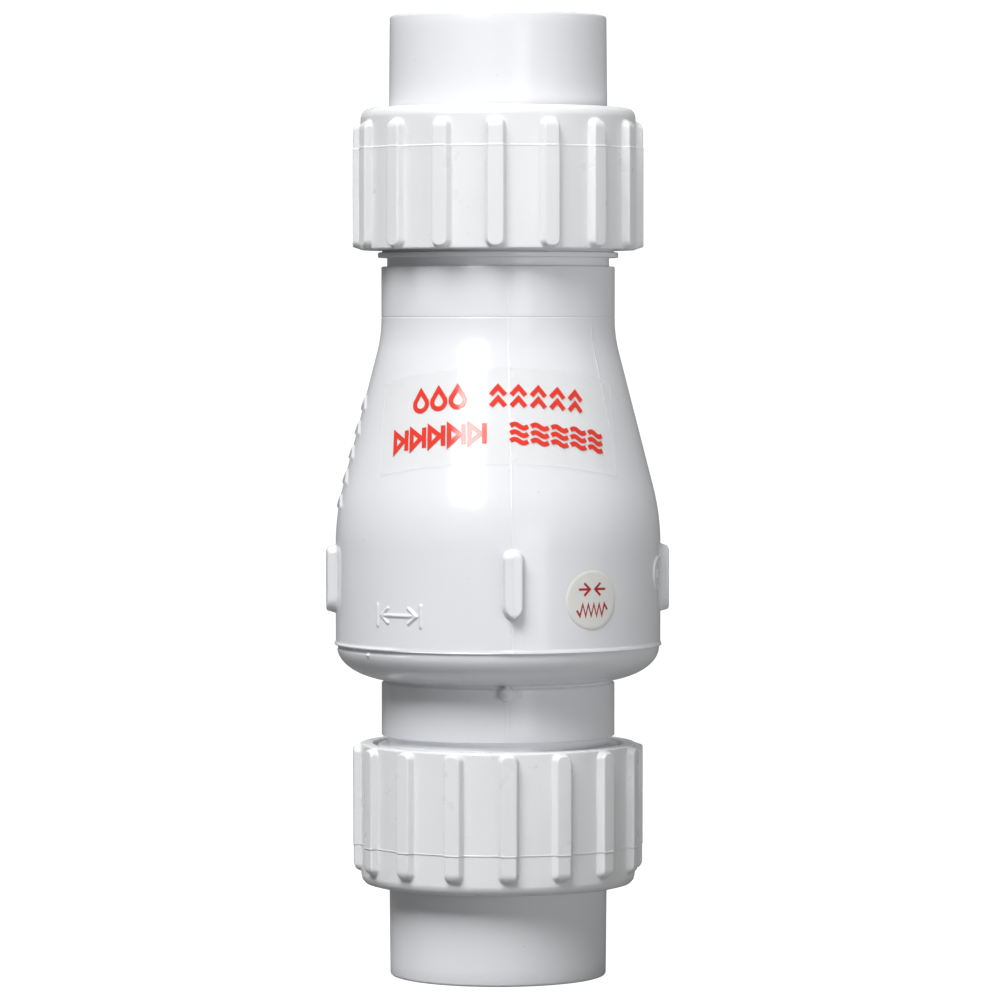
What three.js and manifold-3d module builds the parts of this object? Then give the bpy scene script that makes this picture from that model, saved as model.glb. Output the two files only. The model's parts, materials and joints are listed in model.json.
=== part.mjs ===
// Spring check valve with a union at each end, for solvent-weld pipe of nominal size 1-1/2 inch (DN 40).
//
// Millimetres, +Z up. The valve stands on its inlet end, and water flows up through it. The origin is the
// centre of the inlet end face, and +Z is the axis of the valve. Angles are turned about +Z from +X, so the
// front of the valve, where its label is, faces -Y.
//
// A cap with the valve seat closes the wide end of a bulb-shaped body. A guide is trapped between the two,
// and a poppet slides in it against a coil spring. A union nut at each end clamps a tailpiece, into which
// the pipe is glued, against an O-ring in the end of the body.

import * as THREE from "three";
import { mergeVertices } from "three/addons/utils/BufferGeometryUtils.js";
import Module from "manifold-3d";

const wasm = await Module();
wasm.setup();

// ---------------------------------------------------------------- driving dimensions

const LENGTH = 251.4; // over the two tailpieces
const GAP = 0.3; // between two pieces that touch on the real valve
const ROUND = 32; // facets round a large piece
const SMALL_ROUND = 20; // facets round a small piece
const VERTEX_MERGE = 1e-4;

const TURN = 2 * Math.PI;
const degrees = THREE.MathUtils.degToRad;

// Tailpiece: a socket for pipe of 48.3 mm outside diameter, and a flange that the nut pulls on.
const socket = { outer: 28.6, mouth: 24.3, foot: 24.05, depth: 29.5, throat: 20.45, chamfer: 0.6 };
const flange = { radius: 30.5, thickness: 6 };

// Union nut. Heights are from the end face of the tailpiece that it holds.
const nut = { start: 24.1, height: 37, outer: 35.9, lip: 4, lipBore: 29, corner: 2.2, mouth: 33 };
const rib = { count: 16, length: 33.2, fromLip: 3.3, base: 7, top: 3.8, outer: 38.1, slope: 1.6 };

// Union thread, right-handed on both ends, four turns to the inch.
const thread = { pitch: 6.35, root: 30.4, crest: 32.1, footWidth: 3.6, crestWidth: 1.9, sink: 0.4, fade: 0.06 };
const nutThread = { root: 32.7, crest: 30.8, from: 38, to: 58.5 };

// Where each nut is tight, one of its ribs is this far round from +X. A rib stands in the middle of a facet.
const inletRibAngle = degrees(4.2);
const outletRibAngle = degrees(-1);
const facetAngle = TURN / ROUND;
const ribFromStart = facetAngle / 2;

// Threaded ends of the housing, which meet the tailpieces' flanges.
const inletFace = nut.start + nut.lip + GAP + flange.thickness + GAP;
const outletFace = LENGTH - inletFace;
const relief = { radius: 29.1, inletFrom: 60.8, inletTo: 63.1, outletFrom: 186, outletTo: 188.3 };
const collar = { radius: 32.1, thickness: 1.4 }; // where the thread ends
const neckRadius = 30.6;
const faceGroove = { inner: 24.3, outer: 27.9, depth: 3 };
const ringSection = 1.4; // radius of the O-ring's own section

// Bulb-shaped body.
const bulb = { radius: 42.64, wall: 4.44, coneTop: 167.9, coneFoot: 121, upperFillet: 35, lowerFillet: 60 };
const seam = { height: 86.9, bead: 42.95, beadHeight: 1.2 };
const outletBore = 22.5;
const guideShoulder = { height: 108, radius: 36.6 };
const lug = { count: 4, angle: degrees(5.2), from: 96, to: 113.4, base: 6, top: 2.8, outer: 45.3, slope: 2.4 };

// Inlet cap, with the seat for the poppet.
const cap = { radius: 42.3, domeWidth: 15.8, domeHeight: 8.8, spigotInner: 34.5, spigotTop: 99.7, floor: 82 };
const neckTop = { shoulder: 76.4, groove: 28.4, grooveHeight: 77.2 }; // a groove between the neck and the dome
const seat = { bore: 20.5, outer: 24.2, height: 92, edge: 0.6 };

// Guide: a ring, four vanes and a hub for the stem.
const guide = { ringInner: 34.3, ringOuter: 37.8, ringFrom: 100, ringTo: 107.7, vane: 3, vanes: 4 };
const hub = { radius: 7.4, bore: 5.2, from: 133, to: 150, seatRadius: 11, seatThickness: 2.5 };
const bush = { bore: 3.3, radius: 4.9, flange: 6.6, flangeThickness: 1.5 };

// Poppet, from the stem's lower end up.
const stem = { radius: 3, from: 81.5, to: 156, collarRadius: 5, collarHeight: 3 };
const sealRing = { inner: 3.6, outer: 26.2, from: 92.4, thickness: 3 };
const disc = { radius: 27, thickness: 4, bossRadius: 11, bossHeight: 4, bore: 3.4 };
const sealRetainer = { radius: 18, thickness: 3, nose: 12 };
const washer = { radius: 6.5, bore: 3.4, thickness: 1 };
const stemNut = { acrossFlats: 10, bore: 3.3, thickness: 4.6 };
const springCup = { inner: 5.5, radius: 12, thickness: 1, rim: 2 };
const spring = { coilRadius: 8.6, wireRadius: 0.8, turns: 6.5, stepsPerTurn: 16, wireSides: 6 };

// Labels: a clear film round the front of the cone, and a round sticker on the bulb.
const film = { width: 68, height: 25.4, thickness: 0.3, foot: 135.3, across: 12, up: 3 };
const sticker = { radius: 7.65, thickness: 0.3, angle: degrees(34), height: 100.5 };

// ---------------------------------------------------------------- solids and meshes

// A closed geometry as a solid, with its shared vertices merged and its empty triangles dropped.
function toSolid(geometry) {
  const bare = geometry.clone();
  bare.deleteAttribute("normal");
  bare.deleteAttribute("uv");
  const merged = mergeVertices(bare, VERTEX_MERGE);
  const triVerts = [];
  for (let i = 0; i < merged.index.count; i += 3) {
    const [a, b, c] = [0, 1, 2].map((corner) => merged.index.getX(i + corner));
    if (a !== b && b !== c && c !== a) triVerts.push(a, b, c);
  }
  return new wasm.Manifold(
    new wasm.Mesh({
      numProp: 3,
      vertProperties: merged.attributes.position.array,
      triVerts: new Uint32Array(triVerts),
    }),
  );
}

function toGeometry(solid) {
  const mesh = solid.getMesh();
  const geometry = new THREE.BufferGeometry();
  geometry.setAttribute("position", new THREE.BufferAttribute(mesh.vertProperties, 3));
  geometry.setIndex(new THREE.BufferAttribute(mesh.triVerts, 1));
  geometry.computeVertexNormals();
  return geometry;
}

function joined(first, ...others) {
  return others.reduce((whole, part) => whole.add(part), first);
}

// Corners [radius, height, fillet, steps] as points, with an arc where a corner has a fillet.
function outline(corners) {
  const points = [];
  corners.forEach(([radius, height, fillet = 0, steps = 4], i) => {
    const corner = new THREE.Vector2(radius, height);
    if (!fillet) {
      points.push(corner);
      return;
    }
    const [before, after] = [corners.at(i - 1), corners[(i + 1) % corners.length]];
    const toBefore = new THREE.Vector2(before[0], before[1]).sub(corner).normalize();
    const toAfter = new THREE.Vector2(after[0], after[1]).sub(corner).normalize();
    const halfAngle = Math.acos(THREE.MathUtils.clamp(toBefore.dot(toAfter), -1, 1)) / 2;
    const inward = toBefore.clone().add(toAfter).normalize();
    const centre = corner.clone().addScaledVector(inward, fillet / Math.sin(halfAngle));
    const reach = fillet / Math.tan(halfAngle);
    const start = corner.clone().addScaledVector(toBefore, reach).sub(centre);
    const end = corner.clone().addScaledVector(toAfter, reach).sub(centre);
    const sweep = Math.atan2(start.cross(end), start.dot(end));
    for (let k = 0; k <= steps; k++) {
      points.push(start.clone().rotateAround(new THREE.Vector2(), (sweep * k) / steps).add(centre));
    }
  });
  return points;
}

// A closed profile of radii and heights, turned about +Z.
function turned(points, facets = ROUND) {
  const outward = THREE.ShapeUtils.isClockWise(points) ? [...points].reverse() : points;
  const geometry = new THREE.LatheGeometry([...outward, outward[0]], facets);
  return toSolid(geometry.rotateX(Math.PI / 2));
}

function ring(inner, outer, from, to, facets = ROUND) {
  return turned(outline([[inner, from], [outer, from], [outer, to], [inner, to]]), facets);
}

// A bar wound round the axis. Its section's x is added to the height, its y goes to radiusAt, and share runs
// from 0 to 1 along the bar.
function wound(section, { turns, steps, startAngle = 0, radiusAt, heightAt }) {
  const geometry = new THREE.ExtrudeGeometry(section, { depth: 1, steps, bevelEnabled: false });
  const place = geometry.attributes.position;
  for (let i = 0; i < place.count; i++) {
    const share = place.getZ(i);
    const angle = startAngle + TURN * turns * share;
    const radius = radiusAt(share, place.getY(i));
    const height = heightAt(share) + place.getX(i);
    place.setXYZ(i, radius * Math.cos(angle), radius * Math.sin(angle), height);
  }
  return toSolid(geometry);
}

// A thread ridge that stands from root to crest, between two heights. A full turn is one pitch of height,
// and phase is the height of the ridge's middle at angle 0. The ridge sinks into the wall at both ends.
function threadRidge({ root, crest, from, to, phase }) {
  const outward = Math.sign(crest - root);
  const first = Math.ceil(((from - phase) / thread.pitch) * ROUND);
  const last = Math.floor(((to - phase) / thread.pitch) * ROUND);
  const steps = last - first;
  const turns = steps / ROUND;
  const [foot, top] = [thread.footWidth / 2, thread.crestWidth / 2];
  const section = new THREE.Shape([
    new THREE.Vector2(-foot, 0),
    new THREE.Vector2(foot, 0),
    new THREE.Vector2(top, outward),
    new THREE.Vector2(-top, outward),
  ]);
  const buriedFoot = root - outward * 2 * thread.sink;
  const buriedCrest = root - outward * thread.sink;
  const risen = (share) => Math.min(1, Math.min(share, 1 - share) / thread.fade);
  const crestAt = (share) => THREE.MathUtils.lerp(buriedCrest, crest, risen(share));
  return wound(section, {
    turns,
    steps,
    startAngle: first * facetAngle,
    radiusAt: (share, level) => (level === 0 ? buriedFoot : crestAt(share)),
    heightAt: (share) => phase + thread.pitch * (first / ROUND + turns * share),
  });
}

// Ribs that stand round a cylinder, each with sloping sides and ends.
function ribs({ count, angle, from, to, base, top, inner, outer, slope }) {
  const [reach, length] = [outer - inner, to - from];
  return Array.from({ length: count }, (_, i) => {
    const bar = new THREE.BoxGeometry(reach, base, length);
    const place = bar.attributes.position;
    for (let k = 0; k < place.count; k++) {
      if (place.getX(k) < 0) continue;
      place.setY(k, (place.getY(k) * top) / base);
      place.setZ(k, place.getZ(k) * (1 - (2 * slope) / length));
    }
    bar.translate(inner + reach / 2, 0, from + length / 2);
    return toSolid(bar.rotateZ(angle + (i * TURN) / count));
  });
}

function named(name, solid, finish) {
  const mesh = new THREE.Mesh(toGeometry(solid), new THREE.MeshStandardMaterial(finish));
  mesh.name = name;
  return mesh;
}

// ---------------------------------------------------------------- finishes

const whitePvc = { color: 0xe4e5e8, roughness: 0.32, metalness: 0 };
const nutPvc = { color: 0xe0e1e1, roughness: 0.38, metalness: 0 };
const greyPvc = { color: 0x8d9196, roughness: 0.45, metalness: 0 };
const acetal = { color: 0xf1efe8, roughness: 0.4, metalness: 0 };
const blackRubber = { color: 0x1b1b1c, roughness: 0.7, metalness: 0 };
const stainless = { color: 0xb9bcc0, roughness: 0.28, metalness: 1 };
const clearFilm = { color: 0xe9e9ea, roughness: 0.2, metalness: 0 };
const stickerPaper = { color: 0xe3e1db, roughness: 0.5, metalness: 0 };

// ---------------------------------------------------------------- unions

function tailpiece() {
  const { outer, mouth, foot, depth, throat, chamfer } = socket;
  const flangeFrom = nut.start + nut.lip + GAP;
  const flangeTo = flangeFrom + flange.thickness;
  return turned(
    outline([
      [mouth + chamfer, 0],
      [outer - chamfer, 0],
      [outer, chamfer],
      [outer, flangeFrom],
      [flange.radius, flangeFrom],
      [flange.radius, flangeTo],
      [throat, flangeTo],
      [throat, depth],
      [foot, depth],
      [mouth, chamfer],
    ]),
  );
}

function unionNut() {
  const end = nut.start + nut.height;
  const chamfer = 0.8;
  const shell = turned(
    outline([
      [nut.lipBore, nut.start],
      [nut.outer, nut.start, nut.corner, 3],
      [nut.outer, end, chamfer, 1],
      [nut.mouth, end],
      [nutThread.root, end - chamfer],
      [nutThread.root, nut.start + nut.lip],
      [nut.lipBore, nut.start + nut.lip],
    ]),
  );
  const grips = ribs({
    ...rib,
    angle: ribFromStart,
    from: nut.start + rib.fromLip,
    to: nut.start + rib.fromLip + rib.length,
    inner: nut.outer - 2,
  });
  return joined(shell, ...grips, threadRidge({ ...nutThread, phase: nutThread.from }));
}

// Height from the tailpiece's end, at angle 0, of the thread of a nut whose rib is turned to ribAngle.
function nutPhase(ribAngle) {
  return nutThread.from - (thread.pitch * (ribAngle - ribFromStart)) / TURN;
}

// A thread on the housing, midway between the turns of the nut's. It starts clear of from and ends clear of to.
function housingThread(phaseOfNut, from, to) {
  const clear = thread.crestWidth;
  return threadRidge({ ...thread, from: from + clear, to: to - clear, phase: phaseOfNut + thread.pitch / 2 });
}

function oRing(height) {
  const radius = (faceGroove.inner + faceGroove.outer) / 2;
  return toSolid(new THREE.TorusGeometry(radius, ringSection, 6, ROUND).translate(0, 0, height));
}

// ---------------------------------------------------------------- housing

function valveBody() {
  const { radius, wall, coneTop, coneFoot, upperFillet, lowerFillet } = bulb;
  const { inner, outer, depth } = faceGroove;
  const chamfer = 0.6;
  const shell = turned(
    outline([
      [radius - wall, seam.height],
      [seam.bead, seam.height],
      [seam.bead, seam.height + seam.beadHeight],
      [radius, seam.height + seam.beadHeight + 0.4],
      [radius, coneFoot, lowerFillet, 4],
      [neckRadius, coneTop, upperFillet, 3],
      [neckRadius, relief.outletFrom - chamfer],
      [neckRadius - chamfer, relief.outletFrom],
      [relief.radius, relief.outletFrom],
      [relief.radius, relief.outletTo],
      [collar.radius, relief.outletTo],
      [collar.radius, relief.outletTo + collar.thickness],
      [thread.root, relief.outletTo + collar.thickness],
      [thread.root, outletFace - chamfer],
      [thread.root - chamfer, outletFace],
      [outer, outletFace],
      [outer, outletFace - depth],
      [inner, outletFace - depth],
      [inner, outletFace],
      [outletBore, outletFace],
      [outletBore, coneTop + 12, 20, 2],
      [guideShoulder.radius, coneFoot - 1, 30, 2],
      [guideShoulder.radius, guideShoulder.height],
      [radius - wall, guideShoulder.height],
    ]),
  );
  const lugs = ribs({ ...lug, inner: bulb.radius - 2 });
  const phaseOfNut = LENGTH - nutPhase(-outletRibAngle);
  return joined(shell, ...lugs, housingThread(phaseOfNut, relief.outletTo + collar.thickness, outletFace));
}

function inletCap() {
  const { domeWidth, domeHeight, spigotInner, spigotTop, floor } = cap;
  const { inner, outer, depth } = faceGroove;
  const chamfer = 0.6;
  const rim = seam.height - GAP;
  const domeCentre = cap.radius - domeWidth;
  const meetsNeck = Math.acos((neckTop.groove - domeCentre) / domeWidth);
  const domeSteps = 6;
  const dome = Array.from({ length: domeSteps + 1 }, (_, i) => {
    const angle = meetsNeck * (1 - i / domeSteps);
    return [domeCentre + domeWidth * Math.cos(angle), rim - domeHeight * Math.sin(angle)];
  });
  const shell = turned(
    outline([
      [seat.bore, inletFace],
      [inner, inletFace],
      [inner, inletFace + depth],
      [outer, inletFace + depth],
      [outer, inletFace],
      [thread.root - chamfer, inletFace],
      [thread.root, inletFace + chamfer],
      [thread.root, relief.inletFrom - collar.thickness],
      [collar.radius, relief.inletFrom - collar.thickness],
      [collar.radius, relief.inletFrom],
      [relief.radius, relief.inletFrom],
      [relief.radius, relief.inletTo],
      [neckRadius - chamfer, relief.inletTo],
      [neckRadius, relief.inletTo + chamfer],
      [neckRadius, neckTop.shoulder],
      [neckTop.groove, neckTop.grooveHeight],
      ...dome,
      [bulb.radius - bulb.wall - GAP, rim],
      [bulb.radius - bulb.wall - GAP, spigotTop],
      [spigotInner, spigotTop],
      [spigotInner, floor, 2.5, 2],
      [seat.outer, floor],
      [seat.outer, seat.height - seat.edge],
      [seat.outer - seat.edge, seat.height],
      [seat.bore + seat.edge, seat.height],
      [seat.bore, seat.height - seat.edge],
    ]),
  );
  const threadTo = relief.inletFrom - collar.thickness;
  return joined(shell, housingThread(nutPhase(inletRibAngle), inletFace, threadTo));
}

// ---------------------------------------------------------------- guide

function stemGuide() {
  const hoop = ring(guide.ringInner, guide.ringOuter, guide.ringFrom, guide.ringTo);
  const centre = turned(
    outline([
      [hub.bore, hub.from],
      [hub.seatRadius, hub.from],
      [hub.seatRadius, hub.from + hub.seatThickness],
      [hub.radius, hub.from + hub.seatThickness + 2],
      [hub.radius, hub.to],
      [hub.bore, hub.to],
    ]),
    SMALL_ROUND,
  );
  const side = new THREE.Shape([
    new THREE.Vector2(35, 101.5),
    new THREE.Vector2(36, 101.5),
    new THREE.Vector2(36, 113),
    new THREE.Vector2(32.5, 122),
    new THREE.Vector2(7, 147.5),
    new THREE.Vector2(6.3, 147.5),
    new THREE.Vector2(6.3, 134),
    new THREE.Vector2(12, 134),
    new THREE.Vector2(29.5, 117.5),
    new THREE.Vector2(34, 107),
  ]);
  const vanes = Array.from({ length: guide.vanes }, (_, i) => {
    const plate = new THREE.ExtrudeGeometry(side, { depth: guide.vane, bevelEnabled: false });
    plate.translate(0, 0, -guide.vane / 2).rotateX(Math.PI / 2);
    return toSolid(plate.rotateZ((i * TURN) / guide.vanes));
  });
  return joined(hoop, centre, ...vanes);
}

function guideBush() {
  const top = hub.to + GAP;
  return turned(
    outline([
      [bush.bore, hub.from],
      [bush.radius, hub.from],
      [bush.radius, top],
      [bush.flange, top],
      [bush.flange, top + bush.flangeThickness],
      [bush.bore, top + bush.flangeThickness],
    ]),
    SMALL_ROUND,
  );
}

// ---------------------------------------------------------------- poppet

const sealTop = sealRing.from + sealRing.thickness;
const discFrom = sealTop + GAP;
const bossTop = discFrom + disc.thickness + disc.bossHeight;
const retainerTop = sealRing.from - GAP;
const washerTop = retainerTop - sealRetainer.thickness - GAP;
const stemNutTop = washerTop - washer.thickness - GAP;
const cupFrom = bossTop + GAP;
const springFrom = cupFrom + springCup.thickness + GAP;
const springTo = hub.from - GAP;

function poppetStem() {
  const chamfer = 0.7;
  return turned(
    outline([
      [0, stem.from],
      [stem.radius - chamfer, stem.from],
      [stem.radius, stem.from + chamfer],
      [stem.radius, cupFrom],
      [stem.collarRadius, cupFrom],
      [stem.collarRadius, cupFrom + stem.collarHeight],
      [stem.radius, cupFrom + stem.collarHeight],
      [stem.radius, stem.to - chamfer],
      [stem.radius - chamfer, stem.to],
      [0, stem.to],
    ]),
    SMALL_ROUND,
  );
}

function poppetDisc() {
  return turned(
    outline([
      [disc.bore, discFrom],
      [disc.radius, discFrom, 1.2, 2],
      [disc.radius, discFrom + disc.thickness, 1.2, 2],
      [disc.bossRadius + 2, discFrom + disc.thickness],
      [disc.bossRadius, bossTop],
      [disc.bore, bossTop],
    ]),
  );
}

function sealRetainerDisc() {
  const from = retainerTop - sealRetainer.thickness;
  return turned(
    outline([
      [washer.bore, from],
      [sealRetainer.nose, from],
      [sealRetainer.radius, from + sealRetainer.thickness - 1],
      [sealRetainer.radius, retainerTop],
      [washer.bore, retainerTop],
    ]),
  );
}

function springCupWasher() {
  return turned(
    outline([
      [springCup.inner, cupFrom],
      [springCup.radius, cupFrom],
      [springCup.radius, cupFrom + springCup.rim],
      [springCup.radius - 1, cupFrom + springCup.rim],
      [springCup.radius - 1, cupFrom + springCup.thickness],
      [springCup.inner, cupFrom + springCup.thickness],
    ]),
  );
}

function hexagonNut() {
  const cornerRadius = stemNut.acrossFlats / Math.sqrt(3);
  const corners = Array.from({ length: 6 }, (_, i) =>
    new THREE.Vector2(cornerRadius, 0).rotateAround(new THREE.Vector2(), (i * TURN) / 6),
  );
  const section = new THREE.Shape(corners);
  section.holes.push(new THREE.Path().absarc(0, 0, stemNut.bore, 0, TURN));
  const options = { depth: stemNut.thickness, curveSegments: SMALL_ROUND / 2, bevelEnabled: false };
  const bar = new THREE.ExtrudeGeometry(section, options);
  return toSolid(bar.translate(0, 0, stemNutTop - stemNut.thickness));
}

// The end coils lie flat against the cup and the hub, and the coils between them have an even pitch.
function coilSpring() {
  const { coilRadius, wireRadius, turns, stepsPerTurn, wireSides } = spring;
  const section = new THREE.Shape(
    Array.from({ length: wireSides }, (_, i) =>
      new THREE.Vector2(wireRadius, 0).rotateAround(new THREE.Vector2(), (i * TURN) / wireSides),
    ),
  );
  const endCoil = 1 / turns;
  const lift = springTo - springFrom - 2 * wireRadius;
  const endLift = 2.2 * wireRadius;
  const heightAt = (share) => {
    const fromStart = Math.min(share, endCoil) / endCoil;
    const fromEnd = Math.min(1 - share, endCoil) / endCoil;
    const middle = (THREE.MathUtils.clamp(share, endCoil, 1 - endCoil) - endCoil) / (1 - 2 * endCoil);
    const risen = endLift * fromStart + endLift * (1 - fromEnd) + (lift - 2 * endLift) * middle;
    return springFrom + wireRadius + risen;
  };
  return wound(section, { turns, steps: turns * stepsPerTurn, radiusAt: (_, y) => coilRadius + y, heightAt });
}

// ---------------------------------------------------------------- labels

// The cone's slope, and the point of the axis where its sides would meet.
const coneSlope = (bulb.radius - neckRadius) / (bulb.coneTop - bulb.coneFoot);
const coneAngle = Math.atan(coneSlope);
const apexHeight = bulb.coneFoot + bulb.radius / coneSlope;

// A flat film bent round the cone without stretching, so its straight edges run along arcs.
function labelFilm() {
  const { width, height, thickness, foot, across, up } = film;
  const plate = new THREE.BoxGeometry(width, height, thickness, across, up, 1);
  const place = plate.attributes.position;
  const footSlant = (apexHeight - foot) / Math.cos(coneAngle);
  for (let i = 0; i < place.count; i++) {
    const fromApex = footSlant - height / 2 - place.getY(i);
    const slant = Math.hypot(place.getX(i), fromApex);
    const angle = Math.atan2(place.getX(i), fromApex) / Math.sin(coneAngle) - Math.PI / 2;
    const lift = GAP + thickness / 2 + place.getZ(i);
    const radius = slant * Math.sin(coneAngle) + lift * Math.cos(coneAngle);
    const level = apexHeight - slant * Math.cos(coneAngle) + lift * Math.sin(coneAngle);
    place.setXYZ(i, radius * Math.cos(angle), radius * Math.sin(angle), level);
  }
  return toSolid(plate);
}

function roundSticker() {
  const { radius, thickness, angle, height } = sticker;
  const plate = new THREE.CylinderGeometry(radius, radius, thickness, SMALL_ROUND);
  plate.rotateX(Math.PI / 2);
  const place = plate.attributes.position;
  for (let i = 0; i < place.count; i++) {
    const turn = angle - Math.PI / 2 + place.getX(i) / bulb.radius;
    const lift = bulb.radius + GAP + thickness / 2 + place.getZ(i);
    place.setXYZ(i, lift * Math.cos(turn), lift * Math.sin(turn), height + place.getY(i));
  }
  return toSolid(plate);
}

// ---------------------------------------------------------------- assembly

// One union end, modelled at the inlet. The outlet's is the same, turned over about X.
function unionEnd(name, ribAngle) {
  const nutMesh = named(`${name}_union_nut`, unionNut(), nutPvc);
  nutMesh.rotation.z = ribAngle - ribFromStart;
  return new THREE.Group().add(named(`${name}_tailpiece`, tailpiece(), whitePvc), nutMesh);
}

const inletEnd = unionEnd("inlet", inletRibAngle);
const outletEnd = unionEnd("outlet", -outletRibAngle);
outletEnd.rotation.x = Math.PI;
outletEnd.position.z = LENGTH;

const housing = new THREE.Group().add(
  named("valve_body", valveBody(), whitePvc),
  named("inlet_cap", inletCap(), whitePvc),
  named("inlet_o_ring", oRing(inletFace + faceGroove.depth / 2), blackRubber),
  named("outlet_o_ring", oRing(outletFace - faceGroove.depth / 2), blackRubber),
  named("stem_guide", stemGuide(), greyPvc),
  named("guide_bush", guideBush(), acetal),
  named("coil_spring", coilSpring(), stainless),
  named("front_label", labelFilm(), clearFilm),
  named("round_sticker", roundSticker(), stickerPaper),
);

const poppet = new THREE.Group().add(
  named("poppet_stem", poppetStem(), stainless),
  named("poppet_disc", poppetDisc(), greyPvc),
  named("poppet_seal", ring(sealRing.inner, sealRing.outer, sealRing.from, sealTop), blackRubber),
  named("seal_retainer", sealRetainerDisc(), greyPvc),
  named(
    "stem_washer",
    ring(washer.bore, washer.radius, washerTop - washer.thickness, washerTop, SMALL_ROUND),
    stainless,
  ),
  named("stem_nut", hexagonNut(), stainless),
  named("spring_cup", springCupWasher(), stainless),
);

const valve = new THREE.Group().add(inletEnd, housing, poppet, outletEnd);

export default valve;
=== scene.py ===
"""The looks of the spring check valve with union ends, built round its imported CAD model.

The pieces are solids of revolution with relief on them, so most are made by turned(), which sweeps an
outline round +Z and pushes its surface in or out by a function. Sizes are in millimetres and are turned into
metres where a mesh is made. An azimuth is an angle to the right of the front, which faces -Y.
"""

import json
import math

import bmesh
import bpy
import numpy as np
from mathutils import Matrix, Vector


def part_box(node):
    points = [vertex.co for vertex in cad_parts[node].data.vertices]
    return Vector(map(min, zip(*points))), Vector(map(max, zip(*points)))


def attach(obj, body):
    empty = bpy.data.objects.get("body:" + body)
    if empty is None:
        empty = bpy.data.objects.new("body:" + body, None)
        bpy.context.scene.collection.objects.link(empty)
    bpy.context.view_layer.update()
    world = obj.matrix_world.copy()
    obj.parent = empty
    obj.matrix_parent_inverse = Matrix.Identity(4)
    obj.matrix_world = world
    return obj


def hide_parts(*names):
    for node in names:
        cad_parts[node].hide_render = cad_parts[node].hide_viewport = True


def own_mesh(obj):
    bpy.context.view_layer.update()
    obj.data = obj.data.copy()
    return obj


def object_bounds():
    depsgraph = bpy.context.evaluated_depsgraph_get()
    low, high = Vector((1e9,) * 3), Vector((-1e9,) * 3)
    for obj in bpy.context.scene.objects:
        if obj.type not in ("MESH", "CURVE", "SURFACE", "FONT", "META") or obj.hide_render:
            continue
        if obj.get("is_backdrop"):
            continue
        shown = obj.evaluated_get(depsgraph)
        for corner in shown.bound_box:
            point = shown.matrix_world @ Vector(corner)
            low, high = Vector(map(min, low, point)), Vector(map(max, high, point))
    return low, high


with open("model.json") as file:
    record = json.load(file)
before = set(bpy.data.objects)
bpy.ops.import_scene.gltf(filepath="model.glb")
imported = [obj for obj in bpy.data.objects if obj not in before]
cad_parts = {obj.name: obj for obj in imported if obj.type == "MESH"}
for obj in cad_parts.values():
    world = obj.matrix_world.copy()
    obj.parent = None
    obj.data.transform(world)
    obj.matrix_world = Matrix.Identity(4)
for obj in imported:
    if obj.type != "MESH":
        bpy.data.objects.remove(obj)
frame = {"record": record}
cad_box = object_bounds()

MM = 0.001
TURN = 2 * math.pi
BEHIND = math.pi / 2  # an azimuth is this much more than the angle from +X

record = frame["record"]
body_of_node = {n: b for b, nodes in record["behaviour"]["bodies"].items() for n in nodes}


def low(node):
    """Height of a CAD node's lowest point."""
    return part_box(node)[0].z / MM


def high(node):
    """Height of a CAD node's highest point."""
    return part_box(node)[1].z / MM


def reach(node):
    """A CAD node's largest radius, as its box gives it."""
    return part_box(node)[1].x / MM


# ---------------------------------------------------------------- sizes of the union ends

LENGTH = high("outlet_tailpiece")
PIPE_STOP = 29.5
SOCKET = {"outer": 28.6, "draft": 0.25, "mouth": 24.3, "foot": 24.05, "throat": 20.45}
SOCKET |= {"lead_in": 1.4, "even": 4.0}
FLANGE = {"radius": reach("inlet_tailpiece"), "from": 28.4, "to": high("inlet_tailpiece")}

NUT = {"from": low("inlet_union_nut"), "to": high("inlet_union_nut"), "outer": 36.1, "corner": 2.4}
NUT_BORE = {"lip": 29.0, "root": 32.7, "crest": 30.8, "mouth": 33.0, "shoulder": 28.1}
NUT_THREAD = {"from": 38.0, "to": 58.5}
RIB = {"count": 16, "half_width": 2.3, "from": 27.5, "to": 60.6, "radius": 38.1, "edge": 0.95}
RIB |= {"corner": 2.0, "lead_in": 2.6}
PARTING = {"height": 34.6, "step": 0.1, "ridge": 0.12, "half_width": 0.18}
INLET_RIB = math.radians(4.2)  # azimuth of a rib of each nut
OUTLET_RIB = math.radians(-1.0)
THREAD_START = TURN / 64  # a nut's thread starts this much before its rib

PITCH = 6.35
THREAD = {"root": 30.4, "crest": 32.1, "foot_width": 3.6, "crest_width": 1.9, "fade": 2.0}
ON_SURFACE = 0.1  # a place this close to a surface's radius is on it

# ---------------------------------------------------------------- sizes of the housing

INLET_FACE = low("inlet_cap")
OUTLET_FACE = high("valve_body")
NECK = 30.6
BORE = 22.5
BORE_FROM = 179.9
GROOVE = {"inner": 24.3, "outer": 27.9, "depth": 3.0}
RELIEF = {"radius": 29.1, "inlet": (60.8, 63.1), "outlet": (186.0, 188.3)}
COLLAR = {"radius": 31.5, "thickness": 1.4}

BULB = 42.64
WALL = 4.44
CONE = {"foot": 121.0, "top": 167.9, "lower_fillet": 60.0, "upper_fillet": 35.0}
CONE_SLOPE = (BULB - NECK) / (CONE["top"] - CONE["foot"])
CONE_ANGLE = math.atan(CONE_SLOPE)
APEX = CONE["foot"] + BULB / CONE_SLOPE
SEAM = {"height": 86.9, "closed": 0.28, "fill": 0.2, "gap": 0.22}
BEAD = {"height": 87.35, "half_width": 0.42, "rise": 0.24, "more_at_left": 0.14, "less_at_front": 0.17}
GUIDE_SHOULDER = {"radius": 36.6, "height": 108.0, "top": 120.0}
NECK_PARTING = {"height": 172.8, "half_width": 0.16, "depth": 0.08}
FRONT_PARTING = {"azimuth": math.radians(5.0), "ridge": 0.07, "half_width": 0.13, "step": 0.05}

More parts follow.
